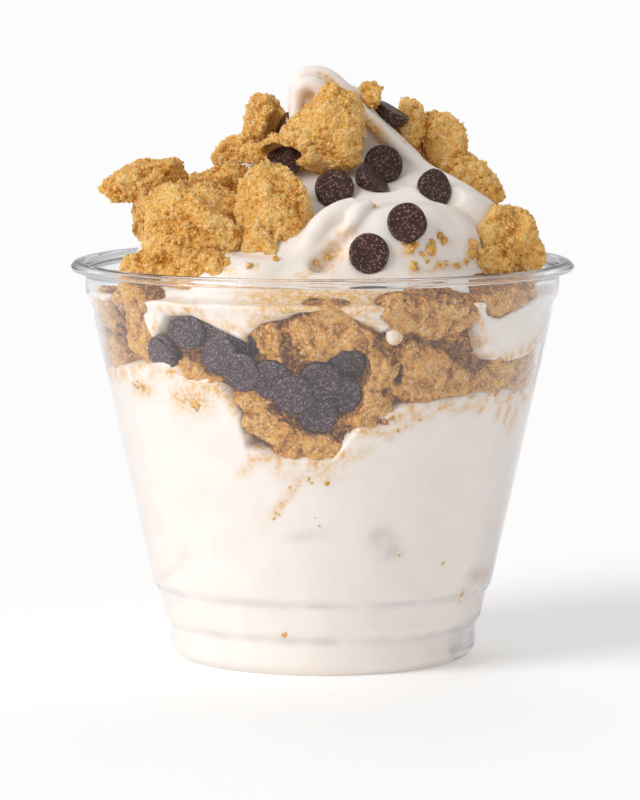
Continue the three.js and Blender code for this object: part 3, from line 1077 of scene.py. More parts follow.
@dataclass(frozen=True)
class Mark:
    """A patch of colour on the serve, of smeared dough, a grey blotch or painted shade: its middle, half
    length, half width, tilt in degrees, strength and half depth.
    """

    middle: Point
    along: float
    across: float
    tilt: float = 0.0
    strength: float = 1.0
    deep: float = 9.0

    def shown(self, points: Array) -> Array:
        """How strongly the mark shows, as seen across the wall or from the front.

        Args:
            points: Where it is read.

        Returns:
            A value from 0 to the strength for each point.
        """
        turn = math.radians(self.tilt)
        across_wall = points[:, 0] - self.middle[0]
        up = points[:, 2] - self.middle[2]
        depth = (points[:, 1] - self.middle[1]) / self.deep
        u = (across_wall * math.cos(turn) + up * math.sin(turn)) / self.along
        v = (up * math.cos(turn) - across_wall * math.sin(turn)) / self.across
        return self.strength * np.exp(-(u**4) - v**2 - depth**4)


def on_wall(
    degrees: float,
    z: float,
    along: float,
    across: float,
    tilt: float = 0,
    strength: float = 1,
) -> Mark:
    """A mark on what is pressed against the wall, by its angle and height."""
    middle = polar(degrees, float(inside_radius(z)), z)
    return Mark(tuple(middle), along, across, tilt, strength)


def strongest(marks: Sequence[Mark], points: Array, uneven: Noise, wave: float) -> Array:
    """The strongest of several marks at each point, with ragged edges.

    Args:
        marks: The marks.
        points: The points.
        uneven: What makes the edges ragged.
        wave: The size of the raggedness.

    Returns:
        A value from 0 to 1 for each point.
    """
    total = np.zeros(len(points))
    ragged = 0.75 + 0.9 * uneven.smooth(points / wave)
    for mark in marks:
        total = np.maximum(total, mark.shown(points))
    return np.clip(total * ragged, 0, 1)


def edge_smear(gap: Array, points: Array, uneven: Noise) -> Array:
    """How much dough the serve took up beside the layer.

    Args:
        gap: How far each point lies past the layer's edge. Negative is clear of the layer.
        points: The points.
        uneven: What makes it patchy.

    Returns:
        A value from 0 to the strongest for each point.
    """
    strongest_value, wide, patch = 0.85, 1.5, 2.2
    patchy = np.clip(0.5 + 1.6 * uneven.smooth(points / patch), 0, 1)
    return strongest_value * patchy * np.exp(-((np.minimum(gap, 0) / wide) ** 2))


# ---- soft serve ----


@dataclass
class LowerServe:
    """The serve under the layer, pressed against the wall."""

    edges: LayerEdges
    lumps: Sequence["Lump"]
    columns: int = 400
    row: float = 0.75
    floor: float = 1.85
    top: float = 66.0
    base_rings: tuple[float, ...] = (9.0, 17.0, 24.8)
    foot_rings: tuple[float, ...] = (26.5, 27.4)
    unevenness: float = 0.1
    edge_lap: float = 1.2  # how far past the layer's edge the serve stays at the wall
    # The pocket of air at the foot: angle, height, half width in degrees and half height.
    pocket: tuple[float, float, float, float] = (80.0, 4.4, 25.0, 5.2)
    pocket_depth: float = 3.6
    # Thin lines of air where the wall steps, which are also painted grey as shade: height and half width, and
    # how deep they go.
    step_gaps: Pairs = ((7.0, 0.7), (14.2, 0.7))
    gap_depth: float = 0.6
    # How far the serve draws back from a lump for each millimetre that it would reach in, and at most.
    lump_room: tuple[float, float] = (1.4, 3.0)
    tan_marks: tuple[Mark, ...] = (
        on_wall(-10.2, 35.6, 5.4, 0.8, 55, 0.95), on_wall(16.3, 47.4, 2.2, 0.9, -20, 0.8),
        on_wall(21.2, 48.5, 2.4, 0.8, 20, 0.85), on_wall(25.3, 50.4, 2.0, 0.9, 15, 0.7),
        on_wall(47.6, 51.4, 1.6, 0.8, 50, 0.8), on_wall(55.3, 50.0, 2.2, 0.6, 70, 0.85),
        on_wall(60.5, 49.4, 2.4, 0.5, 75, 0.85), on_wall(65.0, 48.0, 3.0, 0.6, 70, 0.7),
        on_wall(-36.5, 53.6, 4.2, 3.0, 0, 0.9), on_wall(-33.0, 56.2, 4.0, 1.6, 0, 0.8),
        on_wall(-55.0, 54.6, 2.4, 1.6, 0, 0.9), on_wall(-21.0, 41.0, 3.0, 1.2, 40, 0.5),
        on_wall(-4.0, 39.6, 6.0, 1.2, 0, 0.5), on_wall(9.0, 43.6, 4.0, 1.2, 30, 0.5),
        on_wall(55.0, 14.3, 1.5, 1.1, 80, 0.6), on_wall(64.1, 17.2, 2.2, 1.4, 0, 0.45),
        on_wall(24.6, 24.0, 1.2, 0.7, -50, 0.4), on_wall(150, 46.0, 4.0, 0.9, 50, 0.8),
        on_wall(-150, 50.0, 3.0, 1.0, 30, 0.7), on_wall(110, 30.0, 3.0, 0.8, -40, 0.6),
    )
    blots: tuple[Mark, ...] = (
        on_wall(19.6, 26.4, 3.6, 2.2, -55, 0.7), on_wall(-6.0, 28.0, 4.6, 1.1, 10, 0.35),
        on_wall(-60.0, 18.6, 4.0, 0.8, 45, 0.25), on_wall(-48.0, 22.6, 2.4, 0.7, 10, 0.25),
        on_wall(64.1, 17.6, 2.6, 1.8, 0, 0.5), on_wall(-160, 30.0, 4.0, 1.6, 40, 0.5),
    )

    def depth(self, degrees: Array, z: Array) -> Array:
        """How far the surface lies in from the wall.

        Args:
            degrees: The angle of each place.
            z: Its height.

        Returns:
            A distance for each place.
        """
        centre, height, wide, tall = self.pocket
        out = ((degrees - centre) / wide) ** 2 + ((z - height) / tall) ** 2
        pocket = self.pocket_depth * np.clip(1.3 * (1 - out), 0, 1) ** 0.6
        return drawn_back(self.edges.gap_under(degrees, z), self.edge_lap) + pocket

    def at_steps(self, points: Array, uneven: Noise) -> Array:
        """How far the points lie in the thin gaps at the steps of the wall, which are broken here and there.

        Args:
            points: The points.
            uneven: What breaks the gaps.

        Returns:
            A value for each point, 0 away from the gaps and about 1 in the middle of one.
        """
        broken = np.clip(0.7 + 1.4 * uneven.smooth(points / 5), 0, 1)
        lines = [np.exp(-(((points[:, 2] - height) / wide) ** 2)) for height, wide in self.step_gaps]
        return broken * np.max(lines, axis=0)

    def behind_lumps(self, points: Array) -> Array:
        """How far the surface draws back behind the lumps of dough that lie in it.

        Args:
            points: Points where the surface would lie.

        Returns:
            A distance for each point.
        """
        share, most = self.lump_room
        back = np.zeros(len(points))
        for lump in self.lumps:
            near = np.linalg.norm(points - lump.middle(), axis=1) < lump.reach()
            if near.any():
                sunk = -lump.clearance(points[near])
                back[near] = np.maximum(back[near], np.clip(share * sunk, 0, most))
        return back

    def shape(self) -> Shape:
        """The serve as a skin from the base, up the wall and over the hidden top.

        Returns:
            The serve, with where it is smeared and blotted, and the grey painted shade along the steps of the
            wall.
        """
        noise = Noise(11)
        degrees = np.linspace(0, 360, self.columns, endpoint=False)
        heights = np.arange(WALL, self.top, self.row)
        turned = (degrees + 180) % 360 - 180
        base = [self.ring(degrees, radius, self.floor) for radius in self.base_rings]
        base += [self.ring(degrees, radius, WALL - REACH) for radius in self.foot_rings]
        wall = []
        for z in heights:
            ring = self.ring(degrees, float(inside_radius(z)) + REACH, z)
            waves = 1 + noise.smooth(ring / 7) + 0.6 * noise.smooth(ring / 2.4)
            depth = self.depth(turned, np.full_like(turned, z)) + self.unevenness * waves
            depth = np.maximum(depth, self.behind_lumps(ring))
            depth += self.gap_depth * self.at_steps(ring, noise)
            inward = (1 - depth / np.hypot(ring[:, 0], ring[:, 1]))[:, None]
            wall.append(ring * inward * (1, 1, 0) + (0, 0, z))
        lid = [wall[-1] * (share, share, 1) for share in (0.8, 0.5, 0.2)]
        rings = np.array([*base, *wall, *lid])
        shape = skin(rings, (0, 0, self.floor), (0, 0, heights[-1]))
        ragged = Noise(12)
        smear_and_shade = strongest(self.tan_marks, shape.points, ragged, 1.5)
        gap = self.edges.gap_under(angle_of(shape.points), shape.points[:, 2])
        shape.values["smear_and_shade"] = np.maximum(smear_and_shade, edge_smear(gap, shape.points, ragged))
        blot_and_shade = strongest(self.blots, shape.points, ragged, 2.5)
        # Grey painted shade along the steps of the wall, on top of the blots.
        shape.values["blot_and_shade"] = np.maximum(blot_and_shade, 0.4 * self.at_steps(shape.points, noise))
        return shape

    @staticmethod
    def ring(degrees: Array, radius: float, z: float) -> Array:
        """A ring of points about the axis."""
        turn = np.radians(degrees)
        return np.stack([radius * np.sin(turn), -radius * np.cos(turn), np.full_like(turn, z)], axis=1)

    def build(self, finishes: Finishes) -> None:
        """Makes the lower serve."""
        hand_over("serve_below", self.shape(), finishes["serve"], ["soft_serve_lower"])


@dataclass(frozen=True)
class Rope:
    """A rope of serve through stations of x, y, z and radius, alone or as strands that twist together."""

    ROOM = 3.0  # how far out of the rope its clearance is worked out

    stations: tuple[tuple[float, float, float, float], ...]
    strands: int = 1
    melt: float = 0.35
    stand_off: float = 0.25
    twist: float = 90.0
    spacing: float = 0.8

    def line(self) -> Array:
        """The middle of the rope.

        Returns:
            Points of x, y, z and radius, evenly spaced.
        """
        stations = np.array(self.stations)
        before, after = 2 * stations[0] - stations[1], 2 * stations[-1] - stations[-2]
        knots = np.concatenate([[before], stations, [after]])
        pieces = []
        for p0, p1, p2, p3 in zip(knots, knots[1:], knots[2:], knots[3:]):
            a, b, c = (math.sqrt(math.dist(p[:3], q[:3])) for p, q in ((p0, p1), (p1, p2), (p2, p3)))
            start = ((p1 - p0) / a - (p2 - p0) / (a + b) + (p2 - p1) / b) * b
            end = ((p2 - p1) / b - (p3 - p1) / (b + c) + (p3 - p2) / c) * b
            count = max(2, math.ceil(math.dist(p1[:3], p2[:3]) / self.spacing))
            t = np.linspace(0, 1, count, endpoint=False)[:, None]
            bend = (2 * t**3 - 3 * t**2 + 1) * p1 + (t**3 - 2 * t**2 + t) * start
            pieces.append(bend + (3 * t**2 - 2 * t**3) * p2 + (t**3 - t**2) * end)
        return np.concatenate([*pieces, stations[-1:]])

    def strand_lines(self) -> list[Array]:
        """The strands, and the core that holds them together.

        Returns:
            Points of x, y, z and radius for each.
        """
        line = self.line()
        if self.strands == 1:
            return [line]
        way = np.gradient(line[:, :3], axis=0)
        way /= np.linalg.norm(way, axis=1, keepdims=True)
        side = np.cross(way[0], (0.3, 0.2, 1.0))
        sides = []
        for direction in way:
            side = side - direction * (side @ direction)
            side = side / np.linalg.norm(side)
            sides.append(side)
        sides = np.array(sides)
        others = np.cross(way, sides)
        radius = line[:, 3:4]
        lines = [np.hstack([line[:, :3], radius * (1 - 0.5 * self.stand_off)])]
        share = np.linspace(0, 1, len(line))[:, None]
        for strand in range(self.strands):
            turn = 2 * math.pi * strand / self.strands + math.radians(self.twist) * share
            middle = line[:, :3] + self.stand_off * radius * (np.cos(turn) * sides + np.sin(turn) * others)
            lines.append(np.hstack([middle, radius * (1 - self.stand_off)]))
        return lines

    def nearness(self, points: Array) -> Array:
        """How near each point is to the middle of the rope.

        Args:
            points: The points.

        Returns:
            A value for each point, 1 on the middle and less than half past the radius.
        """
        nearest = np.zeros(len(points))
        for *at, girth in self.line():
            nearest = np.maximum(nearest, np.exp(-((points - at) ** 2).sum(axis=1) / girth**2))
        return nearest

    def add_to(self, grid: Grid, dug: bool = False) -> None:
        """Melts the rope into a grid, or digs it out of what is there.

        Args:
            grid: The grid.
            dug: Whether it is dug out.
        """
        for line in self.strand_lines():
            margin = line[:, 3].max() + self.ROOM + self.melt
            window = grid.window(line[:, :3].min(axis=0) - margin, line[:, :3].max(axis=0) + margin)
            places = grid.places(window)
            strand = np.full(places.shape[:3], FAR)
            axes = [axis[part] for axis, part in zip(grid.axes, window)]
            for *at, girth in line:
                reach = girth + self.ROOM + self.melt
                near = tuple(
                    slice(*np.searchsorted(axis, (place - reach, place + reach)))
                    for axis, place in zip(axes, at)
                )
                away = np.sqrt(((places[near] - at) ** 2).sum(axis=-1)) - girth
                strand[near] = np.minimum(strand[near], away)
            if dug:
                grid.clearance[window] = carved(grid.clearance[window], -strand, self.melt)
            else:
                grid.clearance[window] = melted(grid.clearance[window], strand, self.melt)


@dataclass
class UpperServe:
    """The serve above the layer, the mound and the ropes of the swirl."""

    edges: LayerEdges
    lumps: Sequence["Lump"]
    chips: Sequence["TopChip"]
    top: float
    step: float = 0.5
    low: float = 56.0
    fill: float = 72.0
    seen_from: float = 37.0  # the radius within which the serve below the fill is out of sight
    # The mound: height, radius.
    mound: Pairs = (
        (73.6, 41.0), (76.6, 37.8), (80.2, 34.0), (84.0, 28.0), (88.0, 21.0), (93.0, 14.0), (98.6, 8.6),
        (103.6, 5.0), (107.6, 2.4), (112.0, -2.0),
    )
    # Round the foot of the swirl, up its back, and the turn that carries the curl.
    turns: tuple[Rope, ...] = (
        Rope(
            (
                (-19, -28.6, 75, 6.0), (-28, -14, 76, 6.0), (-29, 4, 77.2, 6.8), (-24, 20, 78, 7.8),
                (-12, 29, 78.8, 8.4), (6, 30, 79.4, 8.4), (20, 23, 79.4, 8.4), (27, 8, 78.6, 7.8),
            ),
            strands=5,
            twist=150,
        ),
        Rope(((9, 5, 95.6, 5.2), (15.6, 8, 92.6, 5.8), (22, 9, 88.8, 6.0), (28, 5, 85, 5.4)), strands=4),
        Rope(
            (
                (-9, -11, 89.6, 5.2), (-14, -2, 90.6, 5.6), (-12.6, 10, 91.6, 6.4), (-1, 16, 92.4, 7.2),
                (11, 12, 92.6, 7.2),
            ),
            strands=5,
            twist=120,
        ),
        Rope(
            ((-4.4, -5, 98.4, 3.8), (-6.2, 2, 99.2, 4.0), (0, 7, 100.2, 4.8), (5.4, 3, 101, 4.6)),
            strands=3,
        ),
    )
    # The curl: its front strand, the strand that runs on as the crest of the ridge, and the one behind.
    curl: tuple[Rope, ...] = (
        Rope(
            (
                (-4.9, -4.8, 101, 1.7), (-4.9, -5.6, 104.3, 1.4), (-5.0, -5.9, 108.1, 1.35),
                (-4.6, -6.1, 110.2, 1.45), (-3.7, -6.2, 111.1, 1.5), (-2.2, -6.2, 111.4, 1.5),
                (-0.8, -6.2, 110.8, 1.5), (1.6, -6.2, 108.4, 1.5), (4.2, -5.9, 105.8, 1.6),
                (7.4, -6.2, 102.8, 1.7), (9.6, -6.8, 99.4, 1.9),
            ),
            melt=0.2,
        ),
        Rope(
            (
                (-5.6, -3.4, 99.5, 2.0), (-5.2, -3.9, 103.4, 1.5), (-5.2, -3.7, 108.3, 1.45),
                (-4.8, -3.5, 111.8, 1.5), (-3.5, -3.4, 113.1, 1.6), (-1.6, -3.3, 113.4, 1.6),
                (0.3, -3.3, 113.1, 1.6), (3.0, -3.2, 111.2, 1.6), (5.6, -3.3, 108.4, 1.6),
                (8.7, -3.5, 105, 1.5), (12.5, -3.8, 101, 1.5), (17, -4.5, 97, 1.6),
                (21, -5.6, 93.7, 2.0), (25.2, -7, 91, 2.3), (29.5, -8.2, 88.3, 2.4),
                (31.6, -9.2, 86.6, 2.4), (31.2, -10.4, 84.8, 2.2),
            ),
            melt=0.2,
        ),
        Rope(
            (
                (1.0, -1.8, 111, 1.8), (4.3, -1.6, 110, 1.5), (6.3, -1.4, 109.2, 1.4),
                (7.7, -1.4, 108.2, 1.3), (8.5, -1.2, 106.6, 1.3), (9.4, -1.2, 105, 1.4),
                (11.4, -1.1, 102.4, 1.6), (13.6, -1.0, 100, 2.0), (17, -1.6, 96, 2.6),
            ),
            melt=0.2,
        ),
    )
    # The body of the ridge, its face, the bulge over the rim, the fold beside it and the short fold.
    front: tuple[Rope, ...] = (
        Rope(
            (
                (-3.0, -3.6, 104, 2.2), (-2.7, -3.8, 107.4, 2.4), (-1.4, -3.4, 109.6, 2.2),
                (2, -2, 109, 2.1), (5.2, -0.8, 105.2, 2.5), (8.4, 0.0, 99.8, 3.6),
                (12.4, -0.6, 94.6, 4.7), (17.4, -3.2, 89.8, 5.8), (23.6, -6, 86.4, 5.8),
                (28.4, -8.8, 84.6, 4.4),
            ),
            melt=0.8,
        ),
        Rope(
            ((10, -12, 87, 6.0), (14, -12.6, 86.2, 6.6), (19, -11.8, 85.4, 7.0), (25, -10.6, 84, 6.6)),
            melt=2.4,
        ),
        Rope(
            ((-4, -23, 80.4, 6.4), (5, -24.6, 80.3, 7.8), (14, -24.4, 80.8, 8.8), (21.2, -19.6, 80.4, 8.4)),
            melt=1.6,
        ),
        Rope(
            (
                (5.4, -26.6, 89.4, 1.5), (2.6, -27.8, 88.2, 1.9), (-0.2, -29, 86.2, 2.1),
                (-1.9, -30, 83.4, 2.2), (-3.8, -31.2, 80.4, 2.4), (-7.0, -32.4, 77.8, 2.9),
                (-12, -32.8, 76, 4.2), (-19, -28.8, 75, 6.0),
            ),
        ),
        Rope(((8.4, -27, 89.2, 1.4), (7, -28.6, 88.5, 1.5), (5.8, -30.2, 86.8, 1.5), (4.6, -31.4, 85, 1.2))),
    )
    # Hollows beside the fold, left of the ridge, and the grooves between the strands of the curl.
    hollows: tuple[Rope, ...] = (
        Rope(
            (
                (7.5, -33.6, 84.6, 1.2), (4.6, -33.0, 83.8, 1.7), (2.6, -33.2, 81.2, 2.1),
                (-0.4, -34.2, 78.4, 2.0),
            ),
            melt=0.5,
        ),
        Rope(
            ((7.2, -7, 104, 1.2), (9.6, -8, 100.8, 2.4), (12.6, -10.4, 97, 2.6), (16.4, -13.4, 94.4, 1.8)),
            melt=0.7,
        ),
        Rope(
            ((-1.4, -5.6, 113.6, 0.4), (0.8, -5.6, 112.6, 0.6), (3, -5.6, 110.7, 0.7), (7, -6, 107, 0.7)),
            melt=0.2,
        ),
        Rope(((6.0, -3.2, 109.6, 0.4), (8.3, -3.2, 107.2, 0.6), (9.8, -3.2, 105.2, 0.5)), melt=0.2),
    )
    # Tan streaks: dough that the serve picked up in the grooves of the curl, and painted shade in the hollow
    # inside the curl and in the valley beside the ridge.
    streaks: tuple[Rope, ...] = (
        Rope(((-0.6, -5, 113.4, 0.5), (1.6, -5, 112, 0.6), (4.4, -5.2, 109.5, 0.6), (7.4, -5.6, 106.4, 0.7))),
        Rope(((6.2, -3, 109.3, 0.5), (7.8, -3, 107.8, 0.7), (9.4, -3, 105.7, 0.7))),
        Rope(((-3.4, -5.6, 105.6, 0.7), (-3.2, -5.8, 107.8, 0.8), (-2.2, -5.6, 109.4, 0.7))),
        Rope(((8.0, -4.6, 104.8, 1.0), (9.8, -5, 102, 1.9), (11.6, -7, 98.8, 1.8))),
    )
    # A drip that hangs into the layer at the wall: its middle and radius.
    drip: tuple[Point, float] = ((13.2, -40.8, 66.2), 1.6)
    # Tan marks: smeared dough, and in the hollow beside the fold painted shade as well.
    tan_marks: tuple[Mark, ...] = (
        Mark((0.0, -44.0, 73.4), 16.0, 2.6, 0, 1.5), on_wall(-16.0, 73.0, 5.0, 0.8, 10, 0.5),
        Mark((4.0, -14, 96.6), 3.0, 2.0, 0, 0.55), Mark((4.6, -31, 84.6), 2.6, 1.6, 20, 0.55),
        Mark((1.4, -31, 80.4), 3.6, 2.2, 40, 1.0), Mark((-3.6, -33, 77.0), 3.0, 0.9, 20, 0.8),
        Mark((16.2, -32, 81.2), 2.0, 1.3, 0, 0.6), Mark((22.5, -28, 83.6), 2.2, 0.8, -45, 0.55),
        Mark((20.2, -30, 80.8), 1.2, 1.6, 0, 0.6), Mark((17.2, -32, 77.8), 1.2, 0.9, 0, 0.7),
        Mark((23.5, -28, 78.2), 5.0, 0.8, 5, 0.7), Mark((28.0, -22, 80.6), 1.6, 2.2, 0, 0.6),
        Mark((25.0, -14, 87.0), 4.0, 2.0, -20, 0.3), Mark((-17.4, -32, 77.8), 1.3, 0.9, 0, 0.8),
        Mark((-12.6, -34, 78.6), 0.9, 0.8, 0, 0.8),
    )

    def shape(self) -> Shape:
        """The serve's surface.

        Returns:
            The serve, with where it is smeared or painted with tan shade, and which corners are out of sight.
        """
        grid = Grid((-SPAN, -SPAN, self.low), (SPAN, SPAN, self.top + 1), self.step)
        self.stand(grid)
        for rope in (*self.turns, *self.front, *self.curl):
            rope.add_to(grid)
        for hollow in self.hollows:
            hollow.add_to(grid, dug=True)
        self.press(grid)
        grid.roughen(ServeRelief().height, band=2.0)
        shape = without_scraps(grid.surface())
        ragged = Noise(13)
        smear_and_shade = strongest(self.tan_marks, shape.points, ragged, 1.6)
        gap = self.edges.gap_over(angle_of(shape.points), shape.points[:, 2])
        smear_and_shade = np.maximum(smear_and_shade, edge_smear(gap, shape.points, ragged))
        # The streaks add picked-up dough, and painted shade inside the curl and beside the ridge.
        for streak in self.streaks:
            smear_and_shade = np.maximum(smear_and_shade, streak.nearness(shape.points))
        shape.values["smear_and_shade"] = smear_and_shade
        shape.values["blot_and_shade"] = np.zeros(len(shape.points))
        radius = np.hypot(shape.points[:, 0], shape.points[:, 1])
        shape.hidden = (shape.points[:, 2] < self.fill) & (radius < self.seen_from)
        return shape

    def from_drip(self, x: Array, y: Array, z: Array) -> Array:
        """How far each place lies outside the drip."""
        at, size = self.drip
        return np.sqrt((x - at[0]) ** 2 + (y - at[1]) ** 2 + (z - at[2]) ** 2) - size

    def stand(self, grid: Grid) -> None:
        """Sets the mound on what fills the cup up to the wall.

        Args:
            grid: The grid, which is empty so far.
        """
        x, y, z = np.meshgrid(*grid.axes, indexing="ij", sparse=True)
        radius = np.hypot(x, y)
        heights, radii = zip(*self.mound)
        mound = np.maximum(0.75 * (radius - np.interp(z, heights, radii)), z - heights[-1])
        filled = np.maximum(radius - inside_radius(z) - REACH, z - self.fill)
        grid.clearance = melted(mound, filled, blend=0.8).astype(np.float32)
        grid.clearance = melted(grid.clearance, self.from_drip(x, y, z), blend=0.5).astype(np.float32)

    def press(self, grid: Grid) -> None:
        """Keeps the serve inside the wall, off the layer and its lumps, under its top and off the chips.

        Args:
            grid: The grid with the serve.
        """
        x, y, z = np.meshgrid(*grid.axes, indexing="ij", sparse=True)
        wall = np.hypot(x, y) - inside_radius(z) - REACH
        degrees = np.degrees(np.arctan2(x, -y)) + 0 * z
        limit = wall + drawn_back(self.edges.gap_over(degrees, z + 0 * degrees), start=0.8)
        limit = np.minimum(limit, np.maximum(self.from_drip(x, y, z), wall))
        limit = np.maximum(limit, self.low + 1 - z)
        grid.clearance = carved(grid.clearance, limit, blend=0.25).astype(np.float32)
        grid.clearance = carved(grid.clearance, z - self.top + 0.1, blend=0.3).astype(np.float32)
        for lump in self.lumps:
            grid.dig(lump.clearance, lump.middle(), lump.reach(), blend=0.2)
        for chip in self.chips:
            chip.open_space().dig_out_of(grid, blend=0.3)

    def build(self, finishes: Finishes) -> Shape:
        """Makes the upper serve.

        Args:
            finishes: The materials.

        Returns:
            Its shape, for what lies on it.
        """
        shape = self.shape()
        hand_over("serve_swirl", shape, finishes["serve"], ["soft_serve_upper"])
        return shape


@dataclass(frozen=True)
class ServeRelief:
    """Soft waves and faint ripples of squeezed serve."""

    noise: Noise = Noise(21)

    def height(self, points: Array) -> Array:
        """The height at each point, in millimetres."""
        broad = 0.35 * self.noise.smooth(points / (9, 9, 6))
        return broad + 0.16 * self.noise.smooth(points / (3.4, 3.4, 2.0) + 7)


# ---- dough ----


class DoughRelief:
    """The crumbly break of cookie dough: soft waves with clusters of packed grains on them."""

    # The size and the height of the waves, and of each kind of grain from coarse to fine.
    WAVES = (5.5, 1.0)
    GRAINS = ((2.7, 0.9), (1.4, 0.9), (0.8, 0.62))
    USUAL = 0.52  # the usual value of the grains' pattern
    SHIFT = (5.5, 1.3)  # the size of the waves that move a form aside, and how far

    def __init__(self, seed: int) -> None:
        """Sets the pattern by a seed."""
        self.noise = Noise(seed)

    def height(self, points: Array) -> Array:
        """The height at each point, in millimetres."""
        size, height = self.WAVES
        total = height * self.noise.smooth(points / size)
        for size, height in self.GRAINS:
            total += height * (self.noise.grains(points / size + size) - self.USUAL)
        return total

    def shift(self, points: Array) -> Array:
        """How far each point is moved aside before a form is read there, so that no form is regular."""
        size, far = self.SHIFT
        moved = [self.noise.smooth(points / size + offset) for offset in (0.0, 31.7, 63.1)]
        return far * np.stack(moved, axis=-1)

    def level(self, points: Array) -> Array:
        """How high each point of the surface stands: about 0 in a crevice and 1 on a crest."""
        return np.clip(0.55 + 0.5 * self.height(points), 0, 1)


@dataclass(frozen=True)
class Lump:
    """A broken lump of dough: a wavy ball cut by flat breaks, at its full size.

    Its waves and breaks follow the same draws as the frame's lump, so it has the same form.
    """

    WAVES = 4
    BREAKS = 9

    at: Point
    size: Point
    seed: int
    roll: float = 0.0
    turn: float = 0.0

    def radii(self, ways: Array) -> Array:
        """The form before it is scaled.

        Args:
            ways: Directions from its middle.

        Returns:
            The radius in each direction.
        """
        draws = Draws(self.seed)
        radius = np.ones(len(ways))
        for _ in range(self.WAVES):
            direction = draws.direction()
            direction = direction * (2 + 3 * draws.number())
            radius += 0.05 * np.sin(ways @ direction + 2 * math.pi * draws.number())
        for _ in range(self.BREAKS):
            facing = ways @ draws.direction()
            depth = 0.64 + 0.22 * draws.number()
            radius = np.where(facing > 0.2, np.minimum(radius, depth / np.maximum(facing, 0.2)), radius)
        return radius

    def fit(self) -> tuple[Array, Array]:
        """How the form is brought to its size.

        Returns:
            The middle of the form before it is scaled, and its scale along each axis.
        """
        count = 500
        z = 1 - 2 * (np.arange(count) + 0.5) / count
        around = np.arange(count) * math.pi * (3 - math.sqrt(5))
        flat = np.sqrt(1 - z * z)
        ways = np.stack([flat * np.cos(around), flat * np.sin(around), z], axis=1)
        shell = ways * self.radii(ways)[:, None]
        low, high = shell.min(axis=0), shell.max(axis=0)
        return (high + low) / 2, np.array(self.size) / (high - low)

    def clearance(self, points: Array) -> Array:
        """How far each point lies outside the lump.

        Args:
            points: The points.

        Returns:
            A distance for each point, negative inside.
        """
        middle, scale = self.fit()
        turn, roll = math.radians(self.turn), math.radians(self.roll)
        x, y, z = points.T
        x, y = x * math.cos(turn) + y * math.sin(turn), y * math.cos(turn) - x * math.sin(turn)
        x, y, z = x - self.at[0], y - self.at[1], z - self.at[2]
        x, z = x * math.cos(roll) - z * math.sin(roll), x * math.sin(roll) + z * math.cos(roll)
        local = np.stack([x, y, z], axis=1) / scale + middle
        length = np.maximum(np.linalg.norm(local, axis=1), 1e-6)
        return (length - self.radii(local / length[:, None])) * scale.mean()

    def middle(self) -> Array:
        """The middle of the lump."""
        turn = math.radians(self.turn)
        x, y, z = self.at
        return np.array([x * math.cos(turn) - y * math.sin(turn), x * math.sin(turn) + y * math.cos(turn), z])

    def reach(self) -> float:
        """How far from its middle the lump and what it melts into can lie."""
        return 0.56 * max(self.size) + 3


def heap(grid: Grid, lumps: Sequence[Lump], relief: DoughRelief, blend: float, shown: Array) -> None:
    """Adds lumps to a grid, each melted a little into those that it touches.

    Args:
        grid: The grid.
        lumps: The lumps.
        relief: What makes their forms irregular.
        blend: How far they melt together.
        shown: The corners of the grid where they matter.
    """
    near = np.zeros_like(shown)
    for lump in lumps:
        window = grid.window(lump.middle() - lump.reach(), lump.middle() + lump.reach())
        away = np.linalg.norm(grid.places(window) - lump.middle(), axis=-1)
        near[window] |= away < lump.reach()
    near &= shown
    points = grid.spots(near)
    moved = points + relief.shift(points)
    clearance = grid.clearance[near].astype(float)
    for lump in lumps:
        close = np.linalg.norm(points - lump.middle(), axis=1) < lump.reach()
        clearance[close] = melted(clearance[close], lump.clearance(moved[close]), blend)
    grid.clearance[near] = clearance


